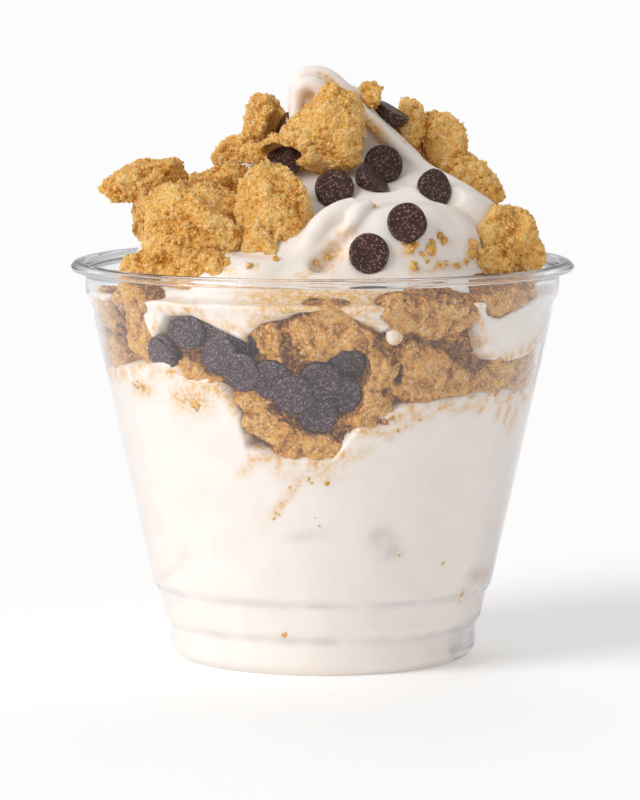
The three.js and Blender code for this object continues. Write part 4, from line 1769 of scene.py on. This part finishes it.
@dataclass
class TopDough:
    """The chunks of dough on top, each of one lump or of several that have grown together."""

    chips: Sequence["TopChip"]
    step: float = 0.31
    blend: float = 0.5
    proud: float = 0.25
    slit_reach: float = 6.0
    chunks: dict[str, tuple[Lump, ...]] = field(
        default_factory=lambda: {
            "left_front": (
                Lump((-24.2, -22, 84), (19, 16, 19), 3),
                Lump((-18.6, -24, 80.4), (9, 10, 11), 103),
                Lump((-27.6, -24, 80.6), (12, 10, 11), 104),
                Lump((-29.0, -20.5, 88.6), (10.5, 10, 8.4), 105),
                Lump((-20.4, -22, 89.2), (10.5, 9, 8), 106),
            ),
            "left_low": (
                Lump((-28.8, -22.8, 77.4), (17, 11, 7.4), 33),
                Lump((-24.4, -26.4, 76.8), (10, 8, 5.4), 133),
                Lump((-20.6, -29.4, 77.8), (13, 9, 8), 134),
                Lump((-33.6, -20.6, 77.2), (9, 8, 6.4), 135),
            ),
            "front": (
                Lump((-9, -24.4, 88.4), (13.8, 12, 18.4), 8),
                Lump((-12.2, -25, 83.6), (7.6, 9, 10), 108),
                Lump((-6.2, -25, 86.0), (7.8, 9, 9), 109),
                Lump((-8.6, -23.4, 93.0), (9, 8, 6.4), 110),
                Lump((-11.6, -27.2, 81.0), (8, 8, 6.6), 118),
            ),
            "far_left": (
                Lump((-34.2, -8, 93.2), (15.2, 12, 7), 21, -12),
                Lump((-32.6, -9, 87.4), (7, 9, 13.4), 23),
                Lump((-34.4, -8.6, 92.6), (8.4, 9, 8.0), 121),
                Lump((-29.4, -6.4, 92.6), (6.8, 8, 5.6), 122),
                Lump((-38.6, -8, 91.2), (6.4, 7, 4.8), 123),
            ),
            "peak_front": (
                Lump((1, -11.4, 102.2), (13.4, 11, 17), 5),
                Lump((-8.4, -10, 99), (9, 8, 7), 6),
                Lump((-3.6, -11.4, 99.6), (9, 9, 9), 107),
                Lump((3.0, -11.8, 99.0), (8.4, 8, 8), 111),
                Lump((-11.4, -9.6, 97.9), (6.4, 7, 4.4), 112),
                Lump((1.2, -11, 106.4), (9.4, 7, 6.4), 113),
            ),
            "peak_left": (
                Lump((-11, 3, 102.8), (8.4, 9, 11.4), 12),
                Lump((-13.6, 2, 99.6), (7, 8, 6.6), 114),
            ),
            "left_small": (
                Lump((-17.4, 1, 98), (6.6, 8, 6.4), 17),
                Lump((-15.4, 0.6, 98.4), (6.4, 7, 5), 117),
            ),
            "left_sliver": (Lump((-18.8, -8, 93.4), (9.4, 8, 5.6), 30),),
            "peak_crumb": (Lump((9.3, -1, 108.9), (4, 5, 6), 44),),
            "peak_right": (
                Lump((17, 7, 101.6), (6.6, 9, 11.4), 26),
                Lump((16.6, 6.4, 103.4), (6.4, 7, 7), 126),
                Lump((15.6, 6.2, 100.4), (5.4, 7, 6), 127),
            ),
            "right_high": (
                Lump((23.6, 9, 98.4), (8.4, 10, 13.6), 35),
                Lump((22.4, 8.6, 101.4), (6.6, 8, 7.4), 135),
                Lump((25.2, 9, 100.4), (5.6, 8, 5.6), 136),
            ),
            "right_slab": (
                Lump((29, 4, 91.8), (13, 10, 8.4), 50, 42),
                Lump((30.6, 3.4, 91.4), (9, 8, 6.4), 150, 42),
            ),
            "right_low": (
                Lump((35.8, -11, 80.8), (11.4, 13.4, 15.6), 61, -22),
                Lump((31.0, -19.4, 77.4), (10, 9, 7), 161),
                Lump((32.2, -16.4, 81.2), (7, 8, 6.4), 164),
                Lump((38.4, -11, 78.8), (8, 10, 8.4), 162),
                Lump((34.6, -12.6, 84.4), (6.4, 8, 7.6), 163),
            ),
            "back_left": (
                Lump((-22, 23, 86.4), (16, 13, 12), 73),
                Lump((-20, 24, 84.4), (12, 10, 9), 173),
            ),
            "back": (
                Lump((-2, 28, 89.6), (13, 12, 12), 79),
                Lump((-0.4, 29, 87.8), (9, 9, 9), 179),
            ),
            "back_right": (
                Lump((19, 27, 86.6), (14, 12, 10), 85),
                Lump((20.6, 26, 86), (9, 9, 8), 185),
            ),
        }
    )

    def shape(self, lumps: Sequence[Lump], relief: DoughRelief) -> Shape:
        """One chunk's surface.

        Args:
            lumps: The lumps that it is made of.
            relief: Its relief.

        Returns:
            The chunk, with how high each corner stands in the relief.
        """
        room = 2.4
        reach = [np.array(lump.size) / 2 + room for lump in lumps]
        low = np.min([lump.at - size for lump, size in zip(lumps, reach)], axis=0)
        high = np.max([lump.at + size for lump, size in zip(lumps, reach)], axis=0)
        grid = Grid(low, high, self.step)
        heap(grid, lumps, relief, self.blend, np.ones(grid.clearance.shape, bool))
        grid.clearance -= self.proud
        grid.roughen(relief.height, band=2.4)
        for chip in self.chips:
            grid.dig(chip.slit, np.array(chip.at), self.slit_reach, blend=0.15)
        shape = without_scraps(grid.surface())
        # The relief level, which the dough finish paints as shade in crevices and highlight on crests.
        shape.values["relief"] = relief.level(shape.points)
        return shape

    def build(self, finishes: Finishes) -> list[Shape]:
        """Makes every chunk.

        Args:
            finishes: The materials.

        Returns:
            Their shapes, for the sugar.
        """
        made = []
        for i, (name, lumps) in enumerate(self.chunks.items()):
            shape = self.shape(lumps, DoughRelief(200 + i))
            node = "dough_" + name
            hand_over(node + "_chunk", shape, finishes["dough"], [node])
            made.append(shape)
        return made


@dataclass
class DoughLayer:
    """The layer of dough across the cup: a core behind the wall, and lumps pressed against the wall."""

    edges: LayerEdges
    open_spaces: Sequence[Ball]
    step: float = 0.46
    low: float = 37.0
    high: float = 77.0
    core_back: float = 3.4
    core_lap: float = 1.5  # how far the core stays inside the edges of the layer
    core_span: tuple[float, float] = (55.0, 66.0)  # the core's lowest and highest away from the wall
    blend: float = 0.5
    seen_from: float = 35.0  # the radius within which the layer is out of sight
    set_back: float = 0.34  # how far the middle of a lump lies behind the wall, as a share of its depth
    proud: float = 0.35
    # The size of the crumbs that press against the wall, and how deep the gaps between them go.
    crumbs: Pairs = ((2.6, 1.7), (1.3, 1.3))
    pressed_flat: float = 0.7  # how much of those gaps the wall presses shut
    # Lumps that show through the wall: angle, height, width, height of the lump.
    lumps: tuple[tuple[float, float, float, float], ...] = (
        (-54.9, 71.6, 13.6, 7.4), (-53.0, 65.4, 9.4, 12.0), (-34.5, 58.4, 11.8, 4.8),
        (-35.8, 53.4, 4.6, 4.6), (-13.7, 64.9, 9.6, 10.4), (2.7, 66.8, 17.0, 12.4),
        (-18.9, 54.3, 8.0, 6.6), (-17.6, 50.2, 7.6, 7.2), (-5.0, 45.3, 18.6, 9.4),
        (9.9, 53.3, 11.8, 10.4), (14.0, 59.8, 8.4, 7.0), (16.1, 50.2, 10.2, 5.4),
        (32.1, 69.6, 17.0, 11.0), (18.9, 70.5, 8.0, 7.4), (25.8, 61.9, 10.2, 7.6),
        (32.7, 57.2, 18.6, 10.4), (52.6, 57.0, 17.0, 9.2), (53.9, 71.9, 19.0, 8.4),
        (68.9, 53.4, 13.0, 4.6), (-57.4, 55.2, 5.4, 3.0), (72.0, 58.5, 10.0, 7.0),
        (-72.0, 69.0, 12.0, 8.0), (-70.0, 60.5, 12.0, 7.0),
    )
    back_from: float = 84.0
    back_to: float = 282.0
    back_count: int = 26

    def all_lumps(self) -> list[Lump]:
        """The lumps that show at the front and those round the back, which follow them in size.

        Returns:
            The lumps.
        """
        rows = list(self.lumps)
        draws = Draws(43)
        span = self.back_to - self.back_from
        for i in range(self.back_count):
            degrees = self.back_from + span * (i + draws.number()) / self.back_count
            height = (55.0, 63.5, 59.0)[i % 3] + 3 * (draws.number() - 0.5)
            width = 8 + 9 * draws.number()
            rows.append((degrees, height, width, width * (0.5 + 0.25 * draws.number())))
        made = []
        for i, (degrees, z, width, tall) in enumerate(rows):
            deep = 0.5 * (width + tall)
            at = polar(0, float(inside_radius(z)) - self.set_back * deep, z)
            made.append(Lump(tuple(at), (width, deep, tall), 300 + 7 * i, turn=degrees))
        return made

    def shape(self) -> Shape:
        """The layer's surface.

        Returns:
            The layer, with how high each corner stands and which are out of sight.
        """
        relief = DoughRelief(91)
        grid = Grid((-SPAN, -SPAN, self.low), (SPAN, SPAN, self.high), self.step)
        x, y, z = np.meshgrid(*grid.axes, indexing="ij", sparse=True)
        radius = np.hypot(x, y)
        degrees = np.degrees(np.arctan2(x, -y)) + 0 * z
        wall = radius - inside_radius(z) - REACH
        low, high = self.core_span
        height = z + 0 * degrees
        outer = np.clip((radius - 30) / 8, 0, 1)
        under = outer * self.edges.gap_under(degrees, height) + (1 - outer) * (z - low)
        over = outer * self.edges.gap_over(degrees, height) + (1 - outer) * (high - z)
        core = np.maximum(wall + self.core_back, self.core_lap - np.minimum(under, over))
        grid.clearance = core.astype(np.float32)
        shown = (wall < 1) & (wall > -12)
        heap(grid, self.all_lumps(), relief, self.blend, shown)
        grid.clearance -= np.float32(self.proud)
        grid.roughen(relief.height, 2.6, shown)
        near = (np.abs(wall) < 4) & (np.abs(grid.clearance) < 4)
        pitted = wall + 0 * grid.clearance
        pitted[near] += self.pits(grid.spots(near), relief)
        grid.clearance = carved(grid.clearance, pitted, blend=0.1).astype(np.float32)
        for space in self.open_spaces:
            space.dig_out_of(grid, blend=0.2)
        shape = without_scraps(grid.surface(), smallest=120)
        shape.values["relief"] = self.level(shape.points, relief)
        shape.hidden = np.hypot(shape.points[:, 0], shape.points[:, 1]) < self.seen_from
        return shape

    def pits(self, points: Array, relief: DoughRelief) -> Array:
        """The gaps between crumbs in the surface that the wall presses.

        Args:
            points: Points of the surface.
            relief: The relief whose pattern the crumbs follow.

        Returns:
            How far each point lies behind the wall.
        """
        total = np.full(len(points), -self.pressed_flat)
        for size, depth in self.crumbs:
            total += depth * (1 - relief.noise.grains(points / size + 9))
        return np.maximum(total, 0)

    def level(self, points: Array, relief: DoughRelief) -> Array:
        """How high the points stand: on a crest of their crumb, and near the wall; the finish paints low
        values as shade, so crevices and dough further behind the wall are painted darker.

        Args:
            points: The points.
            relief: The relief of the layer.

        Returns:
            A value from 0.1 to 1 for each point.
        """
        behind = REACH + inside_radius(points[:, 2]) - np.hypot(points[:, 0], points[:, 1])
        deepest = self.crumbs[0][1]
        # Painted shade: the further a point lies behind the wall, the darker it is painted.
        pressed = np.clip(1 - behind / deepest, 0, 1)
        return np.clip(0.3 * relief.level(points) + 0.75 * pressed, 0.1, 1)

    def build(self, finishes: Finishes) -> None:
        """Makes the layer."""
        hand_over("dough_band", self.shape(), finishes["pressed dough"], ["dough_layer"])


# ---- chocolate chips ----


@dataclass(frozen=True)
class Drop:
    """A chocolate chip: a flat round base with a soft edge, and sides that curve in to the tip."""

    radius: float = 3.8
    height: float = 5.2
    edge: float = 0.5
    columns: int = 36
    rows: int = 12

    def shape(self, at: Array, axis: Array, seed: int) -> Shape:
        """The chip with its base at a point and its tip along an axis, a little uneven.

        Args:
            at: The middle of the base.
            axis: The way that the tip points.
            seed: What makes it uneven.

        Returns:
            The chip.
        """
        share = np.linspace(self.edge / self.height, 0.97, self.rows)
        sides = np.stack([self.radius * np.cos(math.pi / 2 * share**1.15), self.height * share], axis=1)
        turn = np.linspace(0, math.pi / 2, 5)[:-1]
        round_off = [self.radius - self.edge * (1 - np.sin(turn)), self.edge * (1 - np.cos(turn))]
        corner = np.stack(round_off, axis=1)
        base = np.array([[0, 0.12], [0.3 * self.radius, 0.1], [0.6 * self.radius, 0.05]])
        outline = np.concatenate([base, corner, sides, [[0, self.height]]])
        shape = lathe(outline, self.columns)
        noise = Noise(seed)
        lift = 0.22 * noise.smooth(shape.points / 2.6) + 0.1 * noise.smooth(shape.points / 0.9 + 9)
        shape.points += shape.corner_normals() * lift[:, None]
        turned = Vector((0, 0, 1)).rotation_difference(Vector(axis)).to_matrix()
        shape.points = shape.points @ np.array(turned).T + at
        return shape


@dataclass(frozen=True)
class TopChip:
    """A chip on top: its name, the middle of its base and the way that its tip points."""

    BALL = (1.6, 4.3)  # the round space in front of the base: how far out its middle is, and its radius
    SLIT = (1.0, 1.7, 4.4)  # the flat space: how far out its middle is, its half depth and its radius

    name: str
    at: Point
    tip: Point

    def axis(self) -> Array:
        """The direction of the tip."""
        return np.array(self.tip) / np.linalg.norm(self.tip)

    def open_space(self) -> Ball:
        """The space in front of the base that the serve stays out of."""
        out, radius = self.BALL
        return Ball(np.array(self.at) - out * self.axis(), radius)

    def slit(self, points: Array) -> Array:
        """How far each point lies outside the flat space in front of the base, which dough keeps clear.

        Args:
            points: The points.

        Returns:
            A distance for each point, negative inside.
        """
        out, deep, radius = self.SLIT
        ways = points - np.array(self.at)
        along = ways @ self.axis()
        aside = np.linalg.norm(ways - along[:, None] * self.axis(), axis=1)
        return (np.hypot((along + out) / deep, aside / radius) - 1) * deep


@dataclass
class TopChips:
    """The chips on top."""

    drop: Drop = Drop()
    chips: tuple[TopChip, ...] = (
        TopChip("crease", (2.2, -18.6, 92.2), (0.05, 1, -0.25)),
        TopChip("leaning", (10.2, -14.6, 94), (-0.72, 0.3, -0.62)),
        TopChip("high", (11.8, -10.2, 96.4), (-0.25, 0.95, -0.3)),
        TopChip("right", (21.8, -14, 92), (-0.62, 0.72, -0.2)),
        TopChip("middle", (15.8, -33.4, 86.8), (-0.1, 1, -0.3)),
        TopChip("low", (8.6, -35.4, 81.1), (0, 1, -0.14)),
        TopChip("behind_ridge", (13.6, 1.4, 106.4), (-0.5, 0.1, -0.86)),
        TopChip("peak_left", (-8.2, -1, 102.6), (0.9, 0.2, -0.4)),
        TopChip("between", (-7.2, -12.4, 98.2), (0.1, 0.4, -0.9)),
        TopChip("far_left", (-33.4, -14, 84.3), (0.96, 0.3, 0)),
        TopChip("back_high", (-7, 20, 98.4), (0.1, -0.8, -0.6)),
        TopChip("back_low", (11, 36, 85), (-0.2, -0.9, -0.4)),
    )

    def build(self, finishes: Finishes) -> None:
        """Makes the chips."""
        for i, chip in enumerate(self.chips):
            shape = self.drop.shape(np.array(chip.at), chip.axis(), 400 + i)
            node = "chip_" + chip.name
            hand_over(node + "_drop", shape, finishes["chocolate"], [node])


ChipRow = tuple[float, float, float, float, float]


@dataclass
class WallChips:
    """The chips of the layer, which lie behind the wall with the base outwards, in three beds."""

    drop: Drop = Drop()
    # The beds whose chips are bare, and the space in front of each: how far out it is, and its radius.
    bare: tuple[str, ...] = ("chips_front", "chips_back")
    ball: tuple[float, float] = (1.2, 4.2)
    # Each chip: angle, height, depth behind the wall, lean to the side and lean up.
    beds: dict[str, tuple[ChipRow, ...]] = field(
        default_factory=lambda: {
            "chips_front": (
                (-45.4, 61.6, 0.0, 0.05, 0.05), (-36.6, 66.4, 0.5, -0.1, 0.0),
                (-30.2, 66.4, 1.6, 0.1, 0.15), (-28.2, 62.0, 1.3, 0.05, -0.1),
                (-22.6, 64.4, 1.8, 0.0, 0.5), (-21.8, 59.0, 0.4, 0.1, 0.1),
                (-13.6, 57.8, 1.0, -0.1, 0.05), (-7.6, 55.0, 0.1, 0.05, 0.0),
                (-0.6, 57.6, 1.4, 0.0, 0.1), (-1.6, 51.4, 1.4, 0.15, -0.1), (6.6, 60.4, 2.2, -0.2, 0.3),
                (5.2, 55.0, 2.6, 0.1, 0.0),
            ),
            "chips_side": (
                (20.4, 57.9, 3.0, 0.1, 0.2), (30.5, 64.4, 2.6, 0.0, -0.15), (21.4, 64.8, 3.4, 0.1, 0.0),
            ),
            "chips_back": (
                (150, 62, 0.2, 0.1, 0.2), (157, 65.4, 1.4, 0.0, -0.3), (163, 60.6, 0.4, -0.1, 0.1),
                (171, 62.6, 0.9, 0.1, 0.4), (180, 64, 0.1, 0.0, 0.1),
            ),
        }
    )

    def seat(self, row: ChipRow) -> tuple[Array, Array]:
        """Where a chip lies.

        Args:
            row: The chip's row in its bed.

        Returns:
            The middle of its base, and the way that its tip points.
        """
        degrees, z, depth, aside, up = row
        axis = polar(degrees, -1, WALL_LEAN + up) + polar(degrees + 90, aside, 0)
        axis /= np.linalg.norm(axis)
        square = polar(degrees, 1, -WALL_LEAN)
        square /= np.linalg.norm(square)
        tilt = math.sqrt(max(0.0, 1 - float(axis @ square) ** 2))
        radius = float(inside_radius(z)) - depth - 0.9 * self.drop.radius * tilt
        return polar(degrees, radius, z), axis

    def open_spaces(self) -> list[Ball]:
        """The space in front of each bare chip that the dough stays out of."""
        out, radius = self.ball
        seats = [self.seat(row) for name in self.bare for row in self.beds[name]]
        return [Ball(at - out * axis, radius) for at, axis in seats]

    def shape(self, rows: Sequence[ChipRow], seed: int) -> Shape:
        """One bed of chips."""
        return joined(self.drop.shape(*self.seat(row), seed + i) for i, row in enumerate(rows))

    def build(self, finishes: Finishes) -> None:
        """Makes the three beds."""
        for i, (name, rows) in enumerate(self.beds.items()):
            shape = self.shape(rows, 500 + 20 * i)
            hand_over(name + "_drops", shape, finishes["pressed chocolate"], [name])


# ---- crumbs and sugar ----


@dataclass
class Crumbs:
    """Loose crumbs of dough on the serve and behind the wall."""

    # Crumbs on the mound, by where they show in the plane y = -30: x, z and size.
    on_mound: tuple[tuple[float, float, float], ...] = (
        (16.3, 81.8, 1.8), (15.4, 82.6, 1.1), (17.4, 82.4, 1.0), (20.3, 81.3, 1.7), (20.6, 82.6, 1.3),
        (21.9, 84.0, 1.2), (22.8, 82.9, 1.4), (17.1, 78.2, 1.5), (18.7, 80.5, 0.9), (19.6, 79.2, 0.8),
        (21.8, 78.7, 1.1), (23.1, 78.9, 1.0), (25.2, 78.3, 1.1), (26.9, 79.2, 1.0), (28.2, 82.2, 2.1),
        (28.0, 80.6, 1.8), (-13.8, 78.4, 1.3), (-8.8, 79.6, 1.2), (-1.4, 79.0, 1.1), (0.8, 79.9, 0.9),
        (9.6, 89.6, 0.8),
    )
    # Crumbs pressed against the wall: angle, height and size.
    at_wall: tuple[tuple[float, float, float], ...] = (
        (-1.4, 30.1, 1.3), (-2.2, 31.6, 0.6), (41.9, 21.5, 1.4), (-13.5, 8.4, 1.3), (56.0, 13.0, 0.9),
        (55.0, 14.6, 1.0), (-3.4, 39.0, 1.8), (0.6, 38.2, 2.2), (-54.7, 54.6, 2.4), (-57.0, 56.0, 1.2),
        (-35.6, 52.4, 2.6), (-9.4, 37.4, 1.2), (-13.4, 32.4, 1.4), (-14.4, 31.2, 0.9),
        (24.6, 23.8, 0.8), (20.6, 48.2, 1.2), (26.6, 50.0, 1.3), (130, 44.0, 1.6), (-140, 41.0, 1.4),
        (175, 33.0, 1.3), (100, 24.0, 1.2), (-100, 47.0, 1.8),
    )
    mound_share: float = 1.25  # how much larger a crumb of the mound is than it shows
    wall_sunk: float = 0.3
    scattered: int = 70
    # Where scattered crumbs fall: the least distance from the axis, and how much further they reach.
    fall: tuple[float, float] = (14.0, 26.0)

    def crumb(self, at: Array, size: float, seed: int) -> Shape:
        """One crumb of dough.

        Args:
            at: Its middle.
            size: Its width.
            seed: What gives it its form.

        Returns:
            The crumb.
        """
        reach = size * 0.8 + 0.4
        grid = Grid(at - reach, at + reach, max(0.17, size / 8))
        relief = DoughRelief(seed)
        points = grid.spots(grid.clearance > 0)
        ball = np.linalg.norm(points - at, axis=1) - 0.45 * size
        lobes = 0.5 * size * (relief.noise.grains(points / (0.55 * size)) - relief.USUAL)
        grid.clearance = (ball - lobes).reshape(grid.clearance.shape).astype(np.float32)
        return without_scraps(grid.surface(), smallest=30)

    def shape(self, serve: Shape) -> Shape:
        """Every crumb, half sunk in what it lies on.

        Args:
            serve: The upper serve, which carries the crumbs of the mound.

        Returns:
            The crumbs as one mesh.
        """
        tree = serve.tree()
        made = []
        for x, z, size in self.on_mound:
            hit = tree.ray_cast(Vector(EYE), (Vector((x, -30, z)) - Vector(EYE)).normalized())[0]
            if hit is not None:
                made.append(self.crumb(np.array(hit), self.mound_share * size, 600 + len(made)))
        for degrees, z, size in self.at_wall:
            radius = float(inside_radius(z)) - self.wall_sunk * size
            made.append(self.crumb(polar(degrees, radius, z), size, 600 + len(made)))
        draws = Draws(77)
        nearest, further = self.fall
        for _ in range(self.scattered):
            start = polar(360 * draws.number(), nearest + further * draws.number(), 120)
            hit = tree.ray_cast(Vector(start), Vector((0, 0, -1)))[0]
            size = 0.7 + 1.2 * draws.number() ** 2
            # None lie down at the rim, and at the front only the left has them.
            if hit is not None and hit.z > 76 and (hit.y > -8 or hit.x < -12):
                made.append(self.crumb(np.array(hit), size, 600 + len(made)))
        shape = joined(made)
        # The relief level, which the dough finish paints as shade in crevices and highlight on crests.
        shape.values["relief"] = 0.3 + 0.6 * DoughRelief(66).level(shape.points)
        return shape

    def build(self, finishes: Finishes, serve: Shape) -> None:
        """Makes the crumbs."""
        hand_over("loose_crumbs", self.shape(serve), finishes["dough"])


@dataclass
class Sugar:
    """Sugar crystals that stand out of the dough on top."""

    count: int = 8000
    smallest: float = 0.14
    largest: float = 0.27
    seed: int = 5

    def shape(self, dough: Sequence[Shape]) -> Shape:
        """Crystals at random corners of the dough, each an uneven double pyramid.

        Args:
            dough: The shapes that carry the sugar.

        Returns:
            The crystals as one mesh.
        """
        draws = np.random.default_rng(self.seed)
        points = np.concatenate([shape.points for shape in dough])
        normals = np.concatenate([shape.corner_normals() for shape in dough])
        level = np.concatenate([shape.values["relief"] for shape in dough])
        chance = (level + 0.1) / (level + 0.1).sum()
        chosen = draws.choice(len(points), self.count, replace=False, p=chance)
        turns = np.linalg.qr(draws.normal(size=(self.count, 3, 3)))[0]
        sizes = draws.uniform(self.smallest, self.largest, (self.count, 1, 1))
        sizes = sizes * draws.uniform(0.7, 1.2, (self.count, 1, 3))
        corners = np.array([[1, 0, 0], [-1, 0, 0], [0, 1, 0], [0, -1, 0], [0, 0, 1], [0, 0, -1]])
        seats = points[chosen] + 0.3 * self.smallest * normals[chosen]
        crystals = (corners * sizes) @ turns + seats[:, None]
        upper = [[0, 2, 4], [2, 1, 4], [1, 3, 4], [3, 0, 4]]
        lower = [[2, 0, 5], [1, 2, 5], [3, 1, 5], [0, 3, 5]]
        faces = np.array(upper + lower)
        mirrored = np.linalg.det(turns) < 0
        order = np.where(mirrored[:, None, None], faces[:, ::-1], faces)
        numbered = order + 6 * np.arange(self.count)[:, None, None]
        return Shape(crystals.reshape(-1, 3), numbered.reshape(-1, 3).tolist())

    def build(self, finishes: Finishes, dough: Sequence[Shape]) -> None:
        """Makes the sugar on the dough of the top, with flat faces that glint."""
        piece = hand_over("sugar_crystals", self.shape(dough), finishes["sugar"])
        piece.data.polygons.foreach_set("use_smooth", np.zeros(len(piece.data.polygons), bool))


# ---- studio ----


@dataclass
class Studio:
    """A pale floor, soft light from the left and the front, and the camera."""

    camera_down: float = 6.31
    camera_lens: float = 204.5
    floor_size: float = 24000.0
    key_strength: float = 1.8
    rim_strength: float = 0.3
    sky_strength: float = 0.54
    floor_glow: float = 0.14

    def build(self) -> None:
        """Sets the studio up."""
        self.build_floor()
        self.build_light()
        self.build_camera()
        scene = bpy.context.scene
        scene.view_settings.view_transform = "Standard"

    def build_floor(self) -> None:
        """The floor."""
        mesh = bpy.data.meshes.new("floor")
        half = self.floor_size / 2 * MM
        corners = [(-half, -half, 0), (half, -half, 0), (half, half, 0), (-half, half, 0)]
        mesh.from_pydata(corners, [], [(0, 1, 2, 3)])
        material, graph = new_material("pale_floor")
        white = (0.95, 0.95, 0.95, 1.0)
        graph.end_in_principled(
            {
                "Base Color": white,
                "Roughness": 0.6,
                "Emission Color": white,
                "Emission Strength": self.floor_glow,
            }
        )
        mesh.materials.append(material)
        floor = bpy.data.objects.new("floor", mesh)
        bpy.context.scene.collection.objects.link(floor)

    def build_light(self) -> None:
        """A broad soft lamp from the front left, a lamp on the rim from behind, and the sky."""
        self.sun("key", (-0.95, -0.6, 0.68), self.key_strength, 32)
        self.sun("rim", (-0.1, 1.0, 1.1), self.rim_strength, 40)
        world = bpy.data.worlds.new("soft_sky")
        world.use_nodes = True
        background = world.node_tree.nodes["Background"]
        background.inputs["Color"].default_value = (1.0, 1.0, 1.0, 1.0)
        background.inputs["Strength"].default_value = self.sky_strength
        bpy.context.scene.world = world

    def sun(self, name: str, where: Point, strength: float, spread: float) -> None:
        """A lamp so far away that it lights the floor and the sundae alike.

        Args:
            name: Its name.
            where: The direction that it stands in.
            strength: Its strength.
            spread: How wide it looks, in degrees.
        """
        data = bpy.data.lights.new(name, "SUN")
        data.energy = strength
        data.angle = math.radians(spread)
        lamp = bpy.data.objects.new(name, data)
        lamp.rotation_euler = Vector(where).to_track_quat("Z", "Y").to_euler()
        bpy.context.scene.collection.objects.link(lamp)

    def build_camera(self) -> None:
        """The camera."""
        data = bpy.data.cameras.new("camera")
        data.lens = self.camera_lens
        data.sensor_width = 36.0
        data.clip_start = 0.05
        data.clip_end = 50.0
        camera = bpy.data.objects.new("camera", data)
        camera.location = Vector(EYE) * MM
        camera.rotation_euler = (math.radians(90 - self.camera_down), 0, 0)
        bpy.context.scene.collection.objects.link(camera)
        bpy.context.scene.camera = camera


def main() -> None:
    """Builds the sundae round its frame, then the studio."""
    logging.basicConfig(level=logging.INFO, format="%(name)s %(message)s")
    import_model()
    finishes = every_finish()
    edges = LayerEdges()
    Cup(rim_radius=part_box("cup")[1].x / MM).build(finishes)
    wall_chips = WallChips()
    layer = DoughLayer(edges, wall_chips.open_spaces())
    layer.build(finishes)
    LowerServe(edges, layer.all_lumps()).build(finishes)
    wall_chips.build(finishes)
    top_chips = TopChips()
    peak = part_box("soft_serve_upper")[1].z / MM
    serve = UpperServe(edges, layer.all_lumps(), top_chips.chips, peak).build(finishes)
    dough = TopDough(top_chips.chips).build(finishes)
    top_chips.build(finishes)
    Crumbs().build(finishes, serve)
    Sugar().build(finishes, dough)
    Studio().build()


if __name__ == "__main__":
    main()
